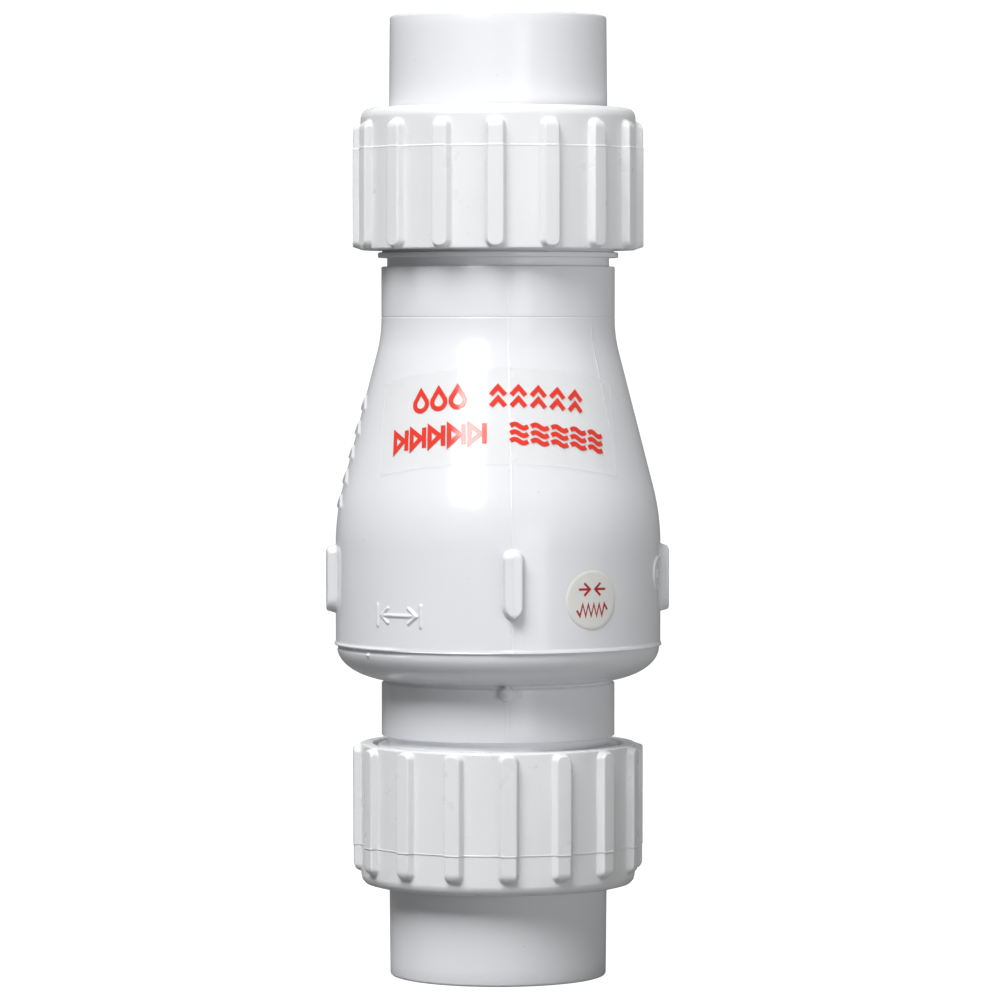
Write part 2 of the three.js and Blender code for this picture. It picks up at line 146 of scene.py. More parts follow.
LUG = {"azimuth": math.radians(5.2), "count": 4, "half_width": 2.45, "corner": 2.3, "edge": 1.0}
LUG |= {"from": 95.2, "to": 113.2, "slope": 2.1, "blunt": 1.1, "radius": 45.24}
SIZE_MARK = {"azimuth": math.radians(-37), "height": 96.3, "half_width": 7.0, "half_height": 2.7}
SIZE_MARK |= {"head": 2.4, "stroke": 0.34, "rise": 0.42}
FLOW_MARK = {"azimuth": math.radians(-82), "height": 137.5, "half_width": 3.4, "head": 2.6, "count": 5}
FLOW_MARK |= {"pitch": 6.4, "stroke": 0.45, "rise": 0.55}
SCUFF = {"azimuth": math.radians(52), "from": 139, "to": 171, "half_width": 0.22, "rise": 0.16}
RING_MARK = {"azimuth": math.radians(76.7), "height": 106, "radius": 4.1}
RING_MARK |= {"stroke": 0.38, "dot": 1.3, "rise": 0.45}
MARK_EDGE = 0.35

CAP = {"radius": 42.3, "dome_width": 15.8, "dome_height": 8.8, "rim": 86.6, "floor": 82.0}
CAP_SPIGOT = {"inner": 34.5, "outer": 37.9, "top": high("inlet_cap")}
NECK_TOP = {"shoulder": 76.9, "groove": 29.7, "groove_height": 77.6}
GATE = {"azimuth": math.radians(4.0), "height": 76.0, "half_width": 2.1, "radius": 32.6}
GATE_LINE = {"half_width": 0.14, "rise": 0.05}
FLASH = {"azimuth": math.radians(-52.5), "below_rim": 0.9, "half_width": 0.5, "rise": 0.7}
SEAT = {"bore": 20.5, "outer": 24.2, "top": 92.0}
THREAD_CLEAR = 1.9  # from a thread's ends to the end face and the collar

# ---------------------------------------------------------------- sizes of the inner pieces

GAP = 0.3
GUIDE_RING = {"inner": 34.3, "outer": 37.8, "from": low("stem_guide"), "to": 107.7}
VANE = {"count": 4, "thickness": 3.0, "edge": 0.35}
VANE_OUTLINE = [
    (35.0, 101.5),
    (36.0, 101.5),
    (36.0, 113.0, 5),
    (32.5, 122.0, 6),
    (7.0, 147.5),
    (6.3, 147.5),
    (6.3, 134.0),
    (12.0, 134.0, 5),
    (29.5, 117.5, 8),
    (34.0, 107.0, 4),
]
HUB = {"bore": 5.2, "radius": 7.4, "seat_radius": 11.0, "seat_thickness": 2.5}
HUB |= {"from": low("guide_bush"), "to": high("stem_guide"), "slope_height": 2.0}
BUSH = {"bore": 3.3, "radius": 4.9, "flange": 6.6, "flange_thickness": 1.5}
STEM = {"radius": 3.0, "collar": 5.0, "collar_height": 3.0, "centre_mark": 0.9}
STEM |= {"threaded": 7.0, "thread_pitch": 1.0, "thread_depth": 0.3}
AXIS = 0.02  # a radius that is as good as none
DISC = {"boss": 11.0, "boss_foot": 13.0, "boss_height": 4.0, "bore": 3.6}
RETAINER = {"nose": 12.0, "bore": 3.3, "edge": 1.0}
STEM_NUT = {"across_flats": 10.0, "bore": 3.3}
SPRING_CUP = {"inner": 5.5, "sheet": 1.0}
SPRING = {"coil": 8.6, "wire": 0.8, "turns": 6.5, "end_lift": 2.2}
SPRING |= {"from": low("coil_spring"), "to": high("coil_spring")}

# ---------------------------------------------------------------- sizes of the labels

LABEL = {"azimuth": 0.0, "foot": 135.3, "width": 68.0, "height": 25.4}
LABEL |= {"lift": 0.04, "thickness": 0.08, "edge_lift": 0.2, "loose": 0.9}
FIRST_ROW = {"up": 17.9, "width": 47.0}
SECOND_ROW = {"up": 8.1, "width": 59.6}
SIGN_STROKE = 0.62
DROP, RISING, VALVE, WAVE = (3.7, 5.2), (3.7, 5.6), (3.8, 4.9), (4.6, 5.5)  # widths and heights of signs
SHARPEST_MITRE = 0.45  # the least cosine of half a printed corner's turn that is mitred to a point
INK = {"thickness": 0.03, "lift": 0.02}
STICKER = {"azimuth": math.radians(34.3), "height": 100.4, "radius": 7.65, "lift": 0.03, "thickness": 0.2}
STICKER |= {"stroke": 0.31, "rounded_from": 0.955}

# ---------------------------------------------------------------- meshes

COARSE_STEP = 3.0  # the longest stretch of an outline between two rows of points
SHORTEST = 0.3  # the last stretch is at least this share of its step
NEAR = 0.001  # heights this close are the same
SHARP = math.radians(70)  # faces that meet at more than this show an edge


def outline(corners, arc_step=0.35):
    """Points round a closed outline of corners (radius, height, fillet), and each point's corner number."""
    points, owners = [], []
    total = len(corners)
    for i, (radius, height, *fillet) in enumerate(corners):
        corner = np.array((radius, height), float)
        if not fillet:
            points.append(corner)
            owners.append(i)
            continue
        before = np.array(corners[i - 1][:2]) - corner
        after = np.array(corners[(i + 1) % total][:2]) - corner
        before /= np.linalg.norm(before)
        after /= np.linalg.norm(after)
        half = math.acos(np.clip(before @ after, -1, 1)) / 2
        centre = corner + (before + after) / np.linalg.norm(before + after) * fillet[0] / math.sin(half)
        start = corner + before * fillet[0] / math.tan(half) - centre
        sweep = math.pi - 2 * half
        if before[0] * after[1] - before[1] * after[0] > 0:
            sweep = -sweep
        steps = max(3, math.ceil(fillet[0] * abs(sweep) / arc_step / 4))
        for k in range(steps + 1):
            turn = sweep * k / steps
            cos, sin = math.cos(turn), math.sin(turn)
            points.append(centre + (start[0] * cos - start[1] * sin, start[0] * sin + start[1] * cos))
            owners.append(i)
    return points, owners


def divided(points, owners, steps_of):
    """The closed outline with its long stretches divided. steps_of gives a corner's list of (from, to, step)
    heights, of which the smallest step that holds at a place is taken."""
    out, out_owners = [], []
    for i, point in enumerate(points):
        ahead = points[(i + 1) % len(points)] - point
        length = max(np.linalg.norm(ahead), 1e-9)
        ranges = steps_of(owners[i])

        def step_from(share):
            """The step that holds at a place, cut short where another stretch of heights starts or ends."""
            height = point[1] + ahead[1] * share
            here = [step for low_z, high_z, step in ranges if low_z - NEAR <= height <= high_z + NEAR]
            step = min(here) / length
            edges = [edge for low_z, high_z, _ in ranges for edge in (low_z, high_z) if ahead[1]]
            stops = [(edge - height) / ahead[1] for edge in edges]
            return min([stop for stop in stops if NEAR < stop * length < step * length], default=step)

        share = 0.0
        while share < 1:
            out.append(point + ahead * share)
            out_owners.append(owners[i])
            step = step_from(share)
            share += step
            if share > 1 - SHORTEST * step:
                break
    return np.array(out), np.array(out_owners)


def azimuths(coarse, *fine):
    """Azimuths in radians all round, coarse degrees apart, or finer where (centre, reach, step) says."""
    angles = list(np.arange(0, 360, coarse))
    for centre, half, step in fine:
        angles = [a for a in angles if abs((a - centre + 180) % 360 - 180) > half + step / 2]
        angles += [(centre + a) % 360 for a in np.linspace(-half, half, int(2 * half / step) + 1)]
    return np.radians(sorted(angles))


def mesh_object(name, points, faces, material):
    """A smooth-shaded mesh object. points is in millimetres."""
    mesh = bpy.data.meshes.new(name)
    mesh.from_pydata((np.asarray(points) * MM).tolist(), [], faces)
    work = bmesh.new()
    work.from_mesh(mesh)
    bmesh.ops.remove_doubles(work, verts=work.verts, dist=1e-7)
    bmesh.ops.recalc_face_normals(work, faces=work.faces)
    work.to_mesh(mesh)
    work.free()
    mesh.polygons.foreach_set("use_smooth", [True] * len(mesh.polygons))
    mesh.set_sharp_from_angle(angle=SHARP)
    mesh.materials.append(material)
    piece = bpy.data.objects.new(name, mesh)
    bpy.context.scene.collection.objects.link(piece)
    return piece


def grid_faces(rows, columns, close_rows=True):
    """Quads of a grid whose columns close on themselves, and whose rows may."""
    row, column = np.meshgrid(np.arange(rows if close_rows else rows - 1), np.arange(columns), indexing="ij")
    next_row, next_column = (row + 1) % rows, (column + 1) % columns
    corners = [(row, column), (row, next_column), (next_row, next_column), (next_row, column)]
    return np.stack([(r * columns + c).ravel() for r, c in corners], axis=1).tolist()


def tube_faces(rows, columns):
    """Faces of a closed tube: a grid, and a face at each end."""
    ends = [tuple(range(columns)), tuple(range((rows - 1) * columns, rows * columns))]
    return grid_faces(rows, columns, close_rows=False) + ends


def turned(name, material, outside, inside, angles=None, steps=(), inner_steps=(), reliefs=(None, None)):
    """A solid of revolution. outside and inside are the corners of its outline, the outside's going up and
    the inside's down. Each of reliefs is None or a function of azimuth, radius and height that gives how far
    the outside or the inside is pushed out from the axis."""
    points, owners = outline([*outside, *inside])
    everywhere = (-LENGTH, 2 * LENGTH, COARSE_STEP)
    outer, inner = [everywhere, *steps], [everywhere, *inner_steps]
    points, owners = divided(points, owners, lambda owner: outer if owner < len(outside) else inner)
    angles = azimuths(2.5) if angles is None else angles
    azimuth, radius = np.meshgrid(angles, points[:, 0])
    height = np.repeat(points[:, 1:], len(angles), axis=1)
    push = np.zeros_like(radius)
    for relief, rows in zip(reliefs, (owners < len(outside), owners >= len(outside))):
        if relief:
            push[rows] = relief(azimuth[rows], radius[rows], height[rows])
    radius = radius + push
    place = np.stack([radius * np.sin(azimuth), -radius * np.cos(azimuth), height], axis=-1)
    return mesh_object(name, place.reshape(-1, 3), grid_faces(*radius.shape), material)


def belongs_to(piece, node):
    """The piece moves with a CAD node's body."""
    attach(piece, body_of_node[node])


def stands_for(piece, node):
    """The piece takes a CAD node's place."""
    belongs_to(piece, node)
    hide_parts(node)


def turned_part(node, made, material, outside, inside, *details, **named_details):
    """A turned piece in a CAD node's place. made says how the part is made, for the piece's name."""
    piece = turned(f"{node}_{made}", material, outside, inside, *details, **named_details)
    stands_for(piece, node)


# ---------------------------------------------------------------- relief on a surface


def smooth(share):
    """Runs smoothly from 0 to 1 as share does."""
    share = np.clip(share, 0, 1)
    return share * share * (3 - 2 * share)


def raised(distance, edge):
    """1 inside an outline and 0 outside it, with a soft edge. distance is negative inside."""
    return smooth(0.5 - distance / edge)


def rounded_box(u, v, half_u, half_v, corner):
    """Distance from a rectangle with round corners."""
    over_u, over_v = np.abs(u) - half_u + corner, np.abs(v) - half_v + corner
    outer = np.hypot(np.maximum(over_u, 0), np.maximum(over_v, 0))
    return outer + np.minimum(np.maximum(over_u, over_v), 0) - corner


def stroke(u, v, start, end, half_width):
    """Distance from a straight stroke with round ends."""
    (u0, v0), (u1, v1) = start, end
    du, dv = u1 - u0, v1 - v0
    share = np.clip(((u - u0) * du + (v - v0) * dv) / (du * du + dv * dv), 0, 1)
    return np.hypot(u - u0 - share * du, v - v0 - share * dv) - half_width


def wrapped(angle):
    """An angle between -pi and pi."""
    return (angle + math.pi) % TURN - math.pi


def ends_faded(height, low_z, high_z, fade):
    """1 between two heights and 0 outside them, with a smooth change at both ends."""
    return smooth((height - low_z) / fade) * smooth((high_z - height) / fade)


def bump_line(distance, half_width):
    """A soft-edged line, 1 at its middle."""
    return np.exp(-((distance / half_width) ** 2))


def thread(azimuth, height, phase):
    """1 on the crest of a right-handed thread and 0 at its root. phase is the crest's height at +X."""
    along = height - phase - PITCH * (azimuth - BEHIND) / TURN
    from_crest = np.abs((along + PITCH / 2) % PITCH - PITCH / 2)
    flank = (THREAD["foot_width"] - THREAD["crest_width"]) / 2
    return smooth((THREAD["foot_width"] / 2 - from_crest) / flank)


# ---------------------------------------------------------------- materials


class Nodes:
    """Builds a material's nodes. Its lengths are in metres, so a texture's scale is in features a metre."""

    def __init__(self, name):
        self.material = bpy.data.materials.new(name)
        self.material.use_nodes = True
        self.tree = self.material.node_tree
        self.shader = self.tree.nodes["Principled BSDF"]
        self.place = self.add("ShaderNodeTexCoord").outputs["Object"]

    def add(self, kind, **settings):
        node = self.tree.nodes.new(kind)
        for name, value in settings.items():
            setattr(node, name, value)
        return node

    def link(self, source, target):
        self.tree.links.new(source, target)

    def noise(self, scale, detail=2.0, stretch=None):
        node = self.add("ShaderNodeTexNoise")
        node.inputs["Scale"].default_value = scale
        node.inputs["Detail"].default_value = detail
        place = self.place
        if stretch:
            mapping = self.add("ShaderNodeMapping")
            mapping.inputs["Scale"].default_value = stretch
            self.link(place, mapping.inputs["Vector"])
            place = mapping.outputs["Vector"]
        self.link(place, node.inputs["Vector"])
        return node.outputs["Fac"]

    def math(self, operation, first, second):
        node = self.add("ShaderNodeMath", operation=operation)
        for socket, value in zip(node.inputs, (first, second)):
            if isinstance(value, (int, float)):
                socket.default_value = value
            else:
                self.link(value, socket)
        return node.outputs[0]

    def remap(self, value, low_value, high_value, to_low, to_high):
        node = self.add("ShaderNodeMapRange")
        numbers = (low_value, high_value, to_low, to_high)
        for socket, number in zip(("From Min", "From Max", "To Min", "To Max"), numbers):
            node.inputs[socket].default_value = number
        self.link(value, node.inputs["Value"])
        return node.outputs[0]

    def mix(self, share, first, second):
        node = self.add("ShaderNodeMix", data_type="RGBA")
        sockets = [s for s in node.inputs if s.type == "RGBA"]
        self.link(share, node.inputs["Factor"])
        for socket, colour in zip(sockets, (first, second)):
            if isinstance(colour, tuple):
                socket.default_value = (*colour, 1)
            else:
                self.link(colour, socket)
        return next(s for s in node.outputs if s.type == "RGBA")

    def specks(self, scale, size, rarity):
        """1 in small spots, one in each of a few cells of a metre / scale."""
        cells = self.add("ShaderNodeTexVoronoi", feature="F1")
        cells.inputs["Scale"].default_value = scale
        self.link(self.place, cells.inputs["Vector"])
        split = self.add("ShaderNodeSeparateColor")
        self.link(cells.outputs["Color"], split.inputs["Color"])
        spot = self.remap(cells.outputs["Distance"], size * 0.6 * scale, size * scale, 1, 0)
        chosen = self.math("GREATER_THAN", split.outputs["Red"], rarity)
        return self.math("MULTIPLY", spot, chosen)

    def bump(self, *layers):
        """Layers of (height, depth in metres), each laid over the one before."""
        normal = None
        for height, depth in layers:
            node = self.add("ShaderNodeBump")
            node.inputs["Distance"].default_value = depth
            self.link(height, node.inputs["Height"])
            if normal:
                self.link(normal, node.inputs["Normal"])
            normal = node.outputs["Normal"]
        self.link(normal, self.shader.inputs["Normal"])

    def set(self, **values):
        for name, value in values.items():
            self.shader.inputs[name.replace("_", " ")].default_value = value

    def colour(self, socket):
        self.link(socket, self.shader.inputs["Base Color"])

    def roughness(self, socket):
        self.link(socket, self.shader.inputs["Roughness"])


def moulded_plastic(name, colour, roughness, specks=True, orange_peel=0.00001):
    """Moulded plastic: faint flow marks in its colour and gloss, a slight orange peel, a few dark specks."""
    nodes = Nodes(name)
    shade = tuple(c * 0.965 for c in colour)
    flow = nodes.remap(nodes.noise(38, 3, stretch=(1, 1, 0.4)), 0.3, 0.7, 0, 1)
    surface = nodes.mix(flow, shade, colour)
    if specks:
        dark = tuple(c * 0.25 for c in colour)
        spots = nodes.math("MULTIPLY", nodes.specks(290, 0.00015, 0.8), 0.7)
        surface = nodes.mix(spots, surface, dark)
    nodes.colour(surface)
    nodes.roughness(nodes.remap(nodes.noise(120, 3), 0.3, 0.7, roughness * 0.88, roughness * 1.14))
    nodes.bump((nodes.noise(55, 2), 0.00025), (nodes.noise(1300, 2), orange_peel))
    nodes.set(IOR=1.53)
    return nodes.material


def rubber(name):
    nodes = Nodes(name)
    nodes.colour(nodes.mix(nodes.noise(160, 4), (0.012, 0.012, 0.013), (0.03, 0.03, 0.031)))
    nodes.roughness(nodes.remap(nodes.noise(420, 3), 0.3, 0.7, 0.5, 0.72))
    nodes.bump((nodes.noise(1500, 3), 0.00003))
    return nodes.material


def turned_steel(name):
    """Steel with fine marks round it from the lathe or the drawing die."""
    nodes = Nodes(name)
    marks = nodes.noise(60, 4, stretch=(1, 1, 90))
    nodes.colour(nodes.mix(marks, (0.5, 0.51, 0.53), (0.68, 0.69, 0.7)))
    nodes.roughness(nodes.remap(marks, 0.3, 0.7, 0.2, 0.36))
    nodes.bump((marks, 0.00001))
    nodes.set(Metallic=1.0)
    return nodes.material


def clear_film(name):
    """Clear self-adhesive film, which only shows by its gloss and a slight haze."""
    nodes = Nodes(name)
    nodes.colour(nodes.mix(nodes.noise(70, 3), (0.9, 0.9, 0.88), (0.94, 0.94, 0.92)))
    nodes.roughness(nodes.remap(nodes.noise(90, 2), 0.3, 0.7, 0.1, 0.16))
    nodes.bump((nodes.noise(90, 2), 0.00012))
    nodes.set(Alpha=0.1)
    return nodes.material


def red_ink(name, colour, gloss):
    """Printed red, slightly uneven as ink is."""
    nodes = Nodes(name)
    nodes.colour(nodes.mix(nodes.noise(420, 4), tuple(c * 0.86 for c in colour), colour))
    nodes.roughness(nodes.remap(nodes.noise(90, 2), 0.3, 0.7, gloss, gloss + 0.06))
    nodes.bump((nodes.noise(90, 2), 0.00012))
    return nodes.material


def sticker_paper(name):
    """Coated off-white paper, with its fibres showing faintly."""
    nodes = Nodes(name)
    fibres = nodes.noise(1600, 5, stretch=(1, 1, 3))
    nodes.colour(nodes.mix(fibres, (0.7, 0.695, 0.67), (0.76, 0.755, 0.73)))
    nodes.roughness(nodes.remap(fibres, 0.3, 0.7, 0.42, 0.55))
    nodes.bump((fibres, 0.00001), (nodes.noise(160, 2), 0.0001))
    return nodes.material


WHITE_PVC = moulded_plastic("white_pvc", (0.765, 0.775, 0.8), 0.16)
NUT_PVC = moulded_plastic("nut_pvc", (0.77, 0.775, 0.785), 0.3, orange_peel=0.00002)
GREY_PVC = moulded_plastic("grey_pvc", (0.36, 0.38, 0.4), 0.38, specks=False)
ACETAL = moulded_plastic("acetal", (0.86, 0.84, 0.77), 0.35, specks=False)
RUBBER = rubber("black_rubber")
STEEL = turned_steel("stainless_steel")
FILM = clear_film("clear_film")
FILM_INK = red_ink("label_ink", (0.79, 0.052, 0.032), 0.12)
STICKER_INK = red_ink("sticker_ink", (0.42, 0.035, 0.033), 0.4)
PAPER = sticker_paper("sticker_paper")

# ---------------------------------------------------------------- unions


def nut_relief(rib_azimuth):
    """How far the outside of a nut stands out, where one of its ribs is at rib_azimuth."""
    spacing = TURN / RIB["count"]
    middle, half = (RIB["from"] + RIB["to"]) / 2, (RIB["to"] - RIB["from"]) / 2

    def relief(azimuth, radius, height):
        from_rib = (azimuth - rib_azimuth + spacing / 2) % spacing - spacing / 2
        across = from_rib * NUT["outer"]
        past_parting = smooth((PARTING["height"] - height) / 0.3 + 0.5) * PARTING["step"]
        half_width = RIB["half_width"] - past_parting
        distance = rounded_box(across, height - middle, half_width, half, RIB["corner"])
        lead_in = np.clip((height - RIB["from"]) / RIB["lead_in"], 0, 1)
        rise = raised(distance, RIB["edge"]) * np.sqrt(1 - (1 - lead_in) ** 2)
        upright = smooth((radius - NUT["outer"] + 1.5) / 1.2)
        line = bump_line(height - PARTING["height"], PARTING["half_width"]) * PARTING["ridge"]
        return ((RIB["radius"] - NUT["outer"]) * rise - past_parting) * upright + line * upright

    return relief


def nut_phase(rib_azimuth):
    """Height at +X of the middle of a nut's thread, with the nut at the inlet."""
    return NUT_THREAD["from"] - PITCH * (rib_azimuth - THREAD_START) / TURN


def nut_thread_relief(phase):
    """The nut's thread, which stands in from its bore."""

    def relief(azimuth, radius, height):
        fade = ends_faded(height, NUT_THREAD["from"], NUT_THREAD["to"], THREAD["fade"])
        in_bore = np.abs(radius - NUT_BORE["root"]) < ON_SURFACE
        return (NUT_BORE["crest"] - NUT_BORE["root"]) * thread(azimuth, height, phase) * fade * in_bore

    return relief


def turned_over(piece):
    """The piece, modelled at the inlet, moved to the outlet."""
    mesh = piece.data
    place = np.empty(len(mesh.vertices) * 3)
    mesh.vertices.foreach_get("co", place)
    place = place.reshape(-1, 3) * (1, -1, -1) + (0, 0, LENGTH * MM)
    mesh.vertices.foreach_set("co", place.ravel())
    mesh.update()


def union_nut(side, rib_azimuth):
    phase = nut_phase(rib_azimuth)
    rib_step = 360 / RIB["count"]
    flank = math.degrees(RIB["half_width"] / NUT["outer"])
    ribs = [math.degrees(rib_azimuth) + i * rib_step for i in range(RIB["count"])]
    return turned(
        f"{side}_nut_moulding",
        NUT_PVC,
        [(NUT["outer"], NUT["from"], NUT["corner"]), (NUT["outer"], NUT["to"], 0.5)],
        [
            (NUT_BORE["mouth"], NUT["to"], 0.3), (NUT_BORE["root"], NUT["to"] - 0.9),
            (NUT_BORE["root"], NUT_BORE["shoulder"], 0.4), (NUT_BORE["lip"], NUT_BORE["shoulder"], 0.3),
            (NUT_BORE["lip"], NUT["from"], 0.3),
        ],
        azimuths(2.3, *[(rib, flank + 1.1, 0.33) for rib in ribs]),
        [
            (RIB["from"] - 1, RIB["from"] + 3.4, 0.22),
            (PARTING["height"] - 0.5, PARTING["height"] + 0.5, 0.08),
            (RIB["to"] - 2.6, RIB["to"] + 0.5, 0.22),
        ],
        [(NUT_THREAD["from"] - 0.5, NUT_THREAD["to"], 0.5)],
        (nut_relief(rib_azimuth), nut_thread_relief(phase)),
    )


def tailpiece(side):
    outer, throat = SOCKET["outer"], SOCKET["throat"]
    return turned(
        f"{side}_socket_moulding",
        WHITE_PVC,
        [
            (outer - SOCKET["draft"], 0, 0.7), (outer, FLANGE["from"] - SOCKET["even"]),
            (outer, FLANGE["from"]), (FLANGE["radius"], FLANGE["from"], 0.4),
            (FLANGE["radius"], FLANGE["to"], 0.4),
        ],
        [
            (throat, FLANGE["to"], 0.8), (throat, PIPE_STOP, 0.5), (SOCKET["foot"], PIPE_STOP),
            (SOCKET["mouth"], SOCKET["lead_in"]), (SOCKET["mouth"] + SOCKET["lead_in"] / 2, 0, 0.3),
        ],
        azimuths(2),
    )


def union_end(side, rib_azimuth, at_outlet=False):
    """A tailpiece and its nut."""
    socket_piece, nut_piece = tailpiece(side), union_nut(side, rib_azimuth)
    if at_outlet:
        turned_over(socket_piece)
        turned_over(nut_piece)
    stands_for(socket_piece, f"{side}_tailpiece")
    stands_for(nut_piece, f"{side}_union_nut")


union_end("inlet", INLET_RIB)
union_end("outlet", -OUTLET_RIB, at_outlet=True)

# ---------------------------------------------------------------- housing


def on_bulb(azimuth, height, mark):
    """Distances across and up from a mark's middle, on the surface of the bulb or the cone above it."""
    local = BULB - np.clip(height - CONE["foot"], 0, None) * CONE_SLOPE
    return wrapped(azimuth - mark["azimuth"]) * local, height - mark["height"]


def lug_relief(azimuth, height):
    """Four upright lugs with sloping ends, a round head, a pointed foot and a ridge down the middle."""
    spacing = TURN / LUG["count"]
    across = ((azimuth - LUG["azimuth"] + spacing / 2) % spacing - spacing / 2) * BULB
    middle, half = (LUG["from"] + LUG["to"]) / 2, (LUG["to"] - LUG["from"]) / 2
    distance = rounded_box(across, height - middle, LUG["half_width"], half, LUG["corner"])
    point = (np.abs(across) - (height - LUG["from"])) * math.sqrt(0.5)
    blunt = LUG["blunt"]
    distance = np.hypot(np.maximum(distance + blunt, 0), np.maximum(point + blunt, 0)) - blunt
    sides = raised(distance, LUG["edge"])
    foot = np.clip((height - LUG["from"] + 0.3) / LUG["slope"], 0, 1)
    head = np.clip((LUG["to"] + 0.3 - height) / LUG["slope"], 0, 1)
    ends = np.sqrt(1 - (1 - np.minimum(foot, head)) ** 2)
    roof = 1 - 0.1 * np.abs(across) / LUG["half_width"]
    return (LUG["radius"] - BULB) * sides * ends * roof


def front_seam(azimuth, radius):
    """The parting lines down the front and the back, where one half of the mould stands a little prouder."""
    rise = 0
    for half_turn in (0, math.pi):
        across = wrapped(azimuth - FRONT_PARTING["azimuth"] - half_turn) * radius
        rise = rise + FRONT_PARTING["ridge"] * bump_line(across, FRONT_PARTING["half_width"])
        rise = rise + FRONT_PARTING["step"] * smooth(0.5 + across / 0.3) * smooth(1 - across / 3)
    return rise


def scuffed_line(azimuth, radius, height):
    """A rough line of flash down the right of the cone, which comes and goes."""
    rough = 0.5 + 0.5 * np.sin(height * 5.1) * np.sin(height * 1.7 + 1) + 0.3 * np.sin(height * 11)
    ends = ends_faded(height, SCUFF["from"], SCUFF["to"], 3)
    across = wrapped(azimuth - SCUFF["azimuth"]) * radius
    return SCUFF["rise"] * np.clip(rough, 0, 1) * ends * bump_line(across, SCUFF["half_width"])


def size_mark(azimuth, height):
    """A raised dimension sign, a double-headed arrow between two bars."""
    across, up = on_bulb(azimuth, height, SIZE_MARK)
    w, h, head = SIZE_MARK["half_width"], SIZE_MARK["half_height"], SIZE_MARK["head"]
    tip = w - 1.3
    strokes = [((-w, -h), (-w, h)), ((w, -h), (w, h)), ((-tip, 0), (tip, 0))]
    strokes += [((s * tip, 0), (s * (tip - head), t * head * 0.8)) for s in (-1, 1) for t in (-1, 1)]
    distance = np.min([stroke(across, up, *ends, SIZE_MARK["stroke"]) for ends in strokes], axis=0)
    return SIZE_MARK["rise"] * raised(distance, MARK_EDGE)


def flow_mark(azimuth, height):
    """Raised chevrons, one above another, that point the way that the water goes."""
    across, up = on_bulb(azimuth, height, FLOW_MARK)
    w, h = FLOW_MARK["half_width"], FLOW_MARK["head"]
    levels = [(i - (FLOW_MARK["count"] - 1) / 2) * FLOW_MARK["pitch"] for i in range(FLOW_MARK["count"])]
    strokes = [((s * w, z - h / 2), (0, z + h / 2)) for z in levels for s in (-1, 1)]
    distance = np.min([stroke(across, up, *ends, FLOW_MARK["stroke"]) for ends in strokes], axis=0)
    return FLOW_MARK["rise"] * raised(distance, 0.5)


def ring_mark(azimuth, height):
    """A plain raised ring with a dot in it."""
    from_middle = np.hypot(*on_bulb(azimuth, height, RING_MARK))
    hoop = np.abs(from_middle - RING_MARK["radius"]) - RING_MARK["stroke"]
    dot = from_middle - RING_MARK["dot"]
    return RING_MARK["rise"] * raised(np.minimum(hoop, dot), MARK_EDGE)


def azimuth_degrees(azimuth):
    return np.degrees(wrapped(azimuth))


def at_left(azimuth, from_degrees, fade):
    """1 further to the left than an azimuth in degrees, with a smooth change."""
    return smooth((-azimuth_degrees(azimuth) - from_degrees) / fade)


def seam_bead(azimuth, height):
    """The bead of plastic that the joint squeezed out, thick at the left and smeared flat near the front."""
    smeared = ends_faded(azimuth_degrees(azimuth), -42, 4, 8)
    rise = BEAD["rise"] + BEAD["more_at_left"] * at_left(azimuth, 30, 12) - BEAD["less_at_front"] * smeared
    wavy = 1 + 0.18 * np.sin(azimuth * 23) * np.sin(azimuth * 9 + 1)
    return rise * wavy * bump_line(height - BEAD["height"], BEAD["half_width"])


def seam_fill(azimuth, radius, height, outer):
    """The smeared plastic that nearly fills the joint's V, except at the left."""
    near = smooth(1.6 - np.abs(height - SEAM["height"]) / 0.22)
    return SEAM["fill"] * (1 - at_left(azimuth, 30, 10)) * near * (radius > outer - 0.4)


def body_relief(azimuth, radius, height):
    on_bulb_side = radius > BULB - 0.3
    on_side = radius > NECK - 0.3
    marks = lug_relief(azimuth, height) + size_mark(azimuth, height) + ring_mark(azimuth, height)
    rise = marks * on_bulb_side + flow_mark(azimuth, height) * on_side
    rise = rise + seam_bead(azimuth, height) * on_bulb_side + seam_fill(azimuth, radius, height, BULB)
    rise = rise + scuffed_line(azimuth, radius, height) * on_side
    below_relief = smooth((RELIEF["outlet"][0] - 2 - height) / 6)
    rise = rise + front_seam(azimuth, radius) * on_side * below_relief
    at_neck = bump_line(height - NECK_PARTING["height"], NECK_PARTING["half_width"])
    rise = rise - NECK_PARTING["depth"] * at_neck
    return rise + neck_thread(azimuth, radius, height, *BODY_THREAD)


def neck_thread(azimuth, radius, height, phase, from_height, to_height):
    """The housing's thread, which stands out from the neck and fades at both ends."""
    fade = ends_faded(height, from_height, to_height, THREAD["fade"])
    on_neck = np.abs(radius - THREAD["root"]) < ON_SURFACE
    return (THREAD["crest"] - THREAD["root"]) * thread(azimuth, height, phase) * fade * on_neck


BODY_THREAD = (
    LENGTH - nut_phase(-OUTLET_RIB) + PITCH / 2,
    RELIEF["outlet"][1] + COLLAR["thickness"] + THREAD_CLEAR,
    OUTLET_FACE - THREAD_CLEAR,
)
CAP_THREAD = (
    nut_phase(INLET_RIB) + PITCH / 2,
    INLET_FACE + THREAD_CLEAR,
    RELIEF["inlet"][0] - COLLAR["thickness"] - THREAD_CLEAR,
)


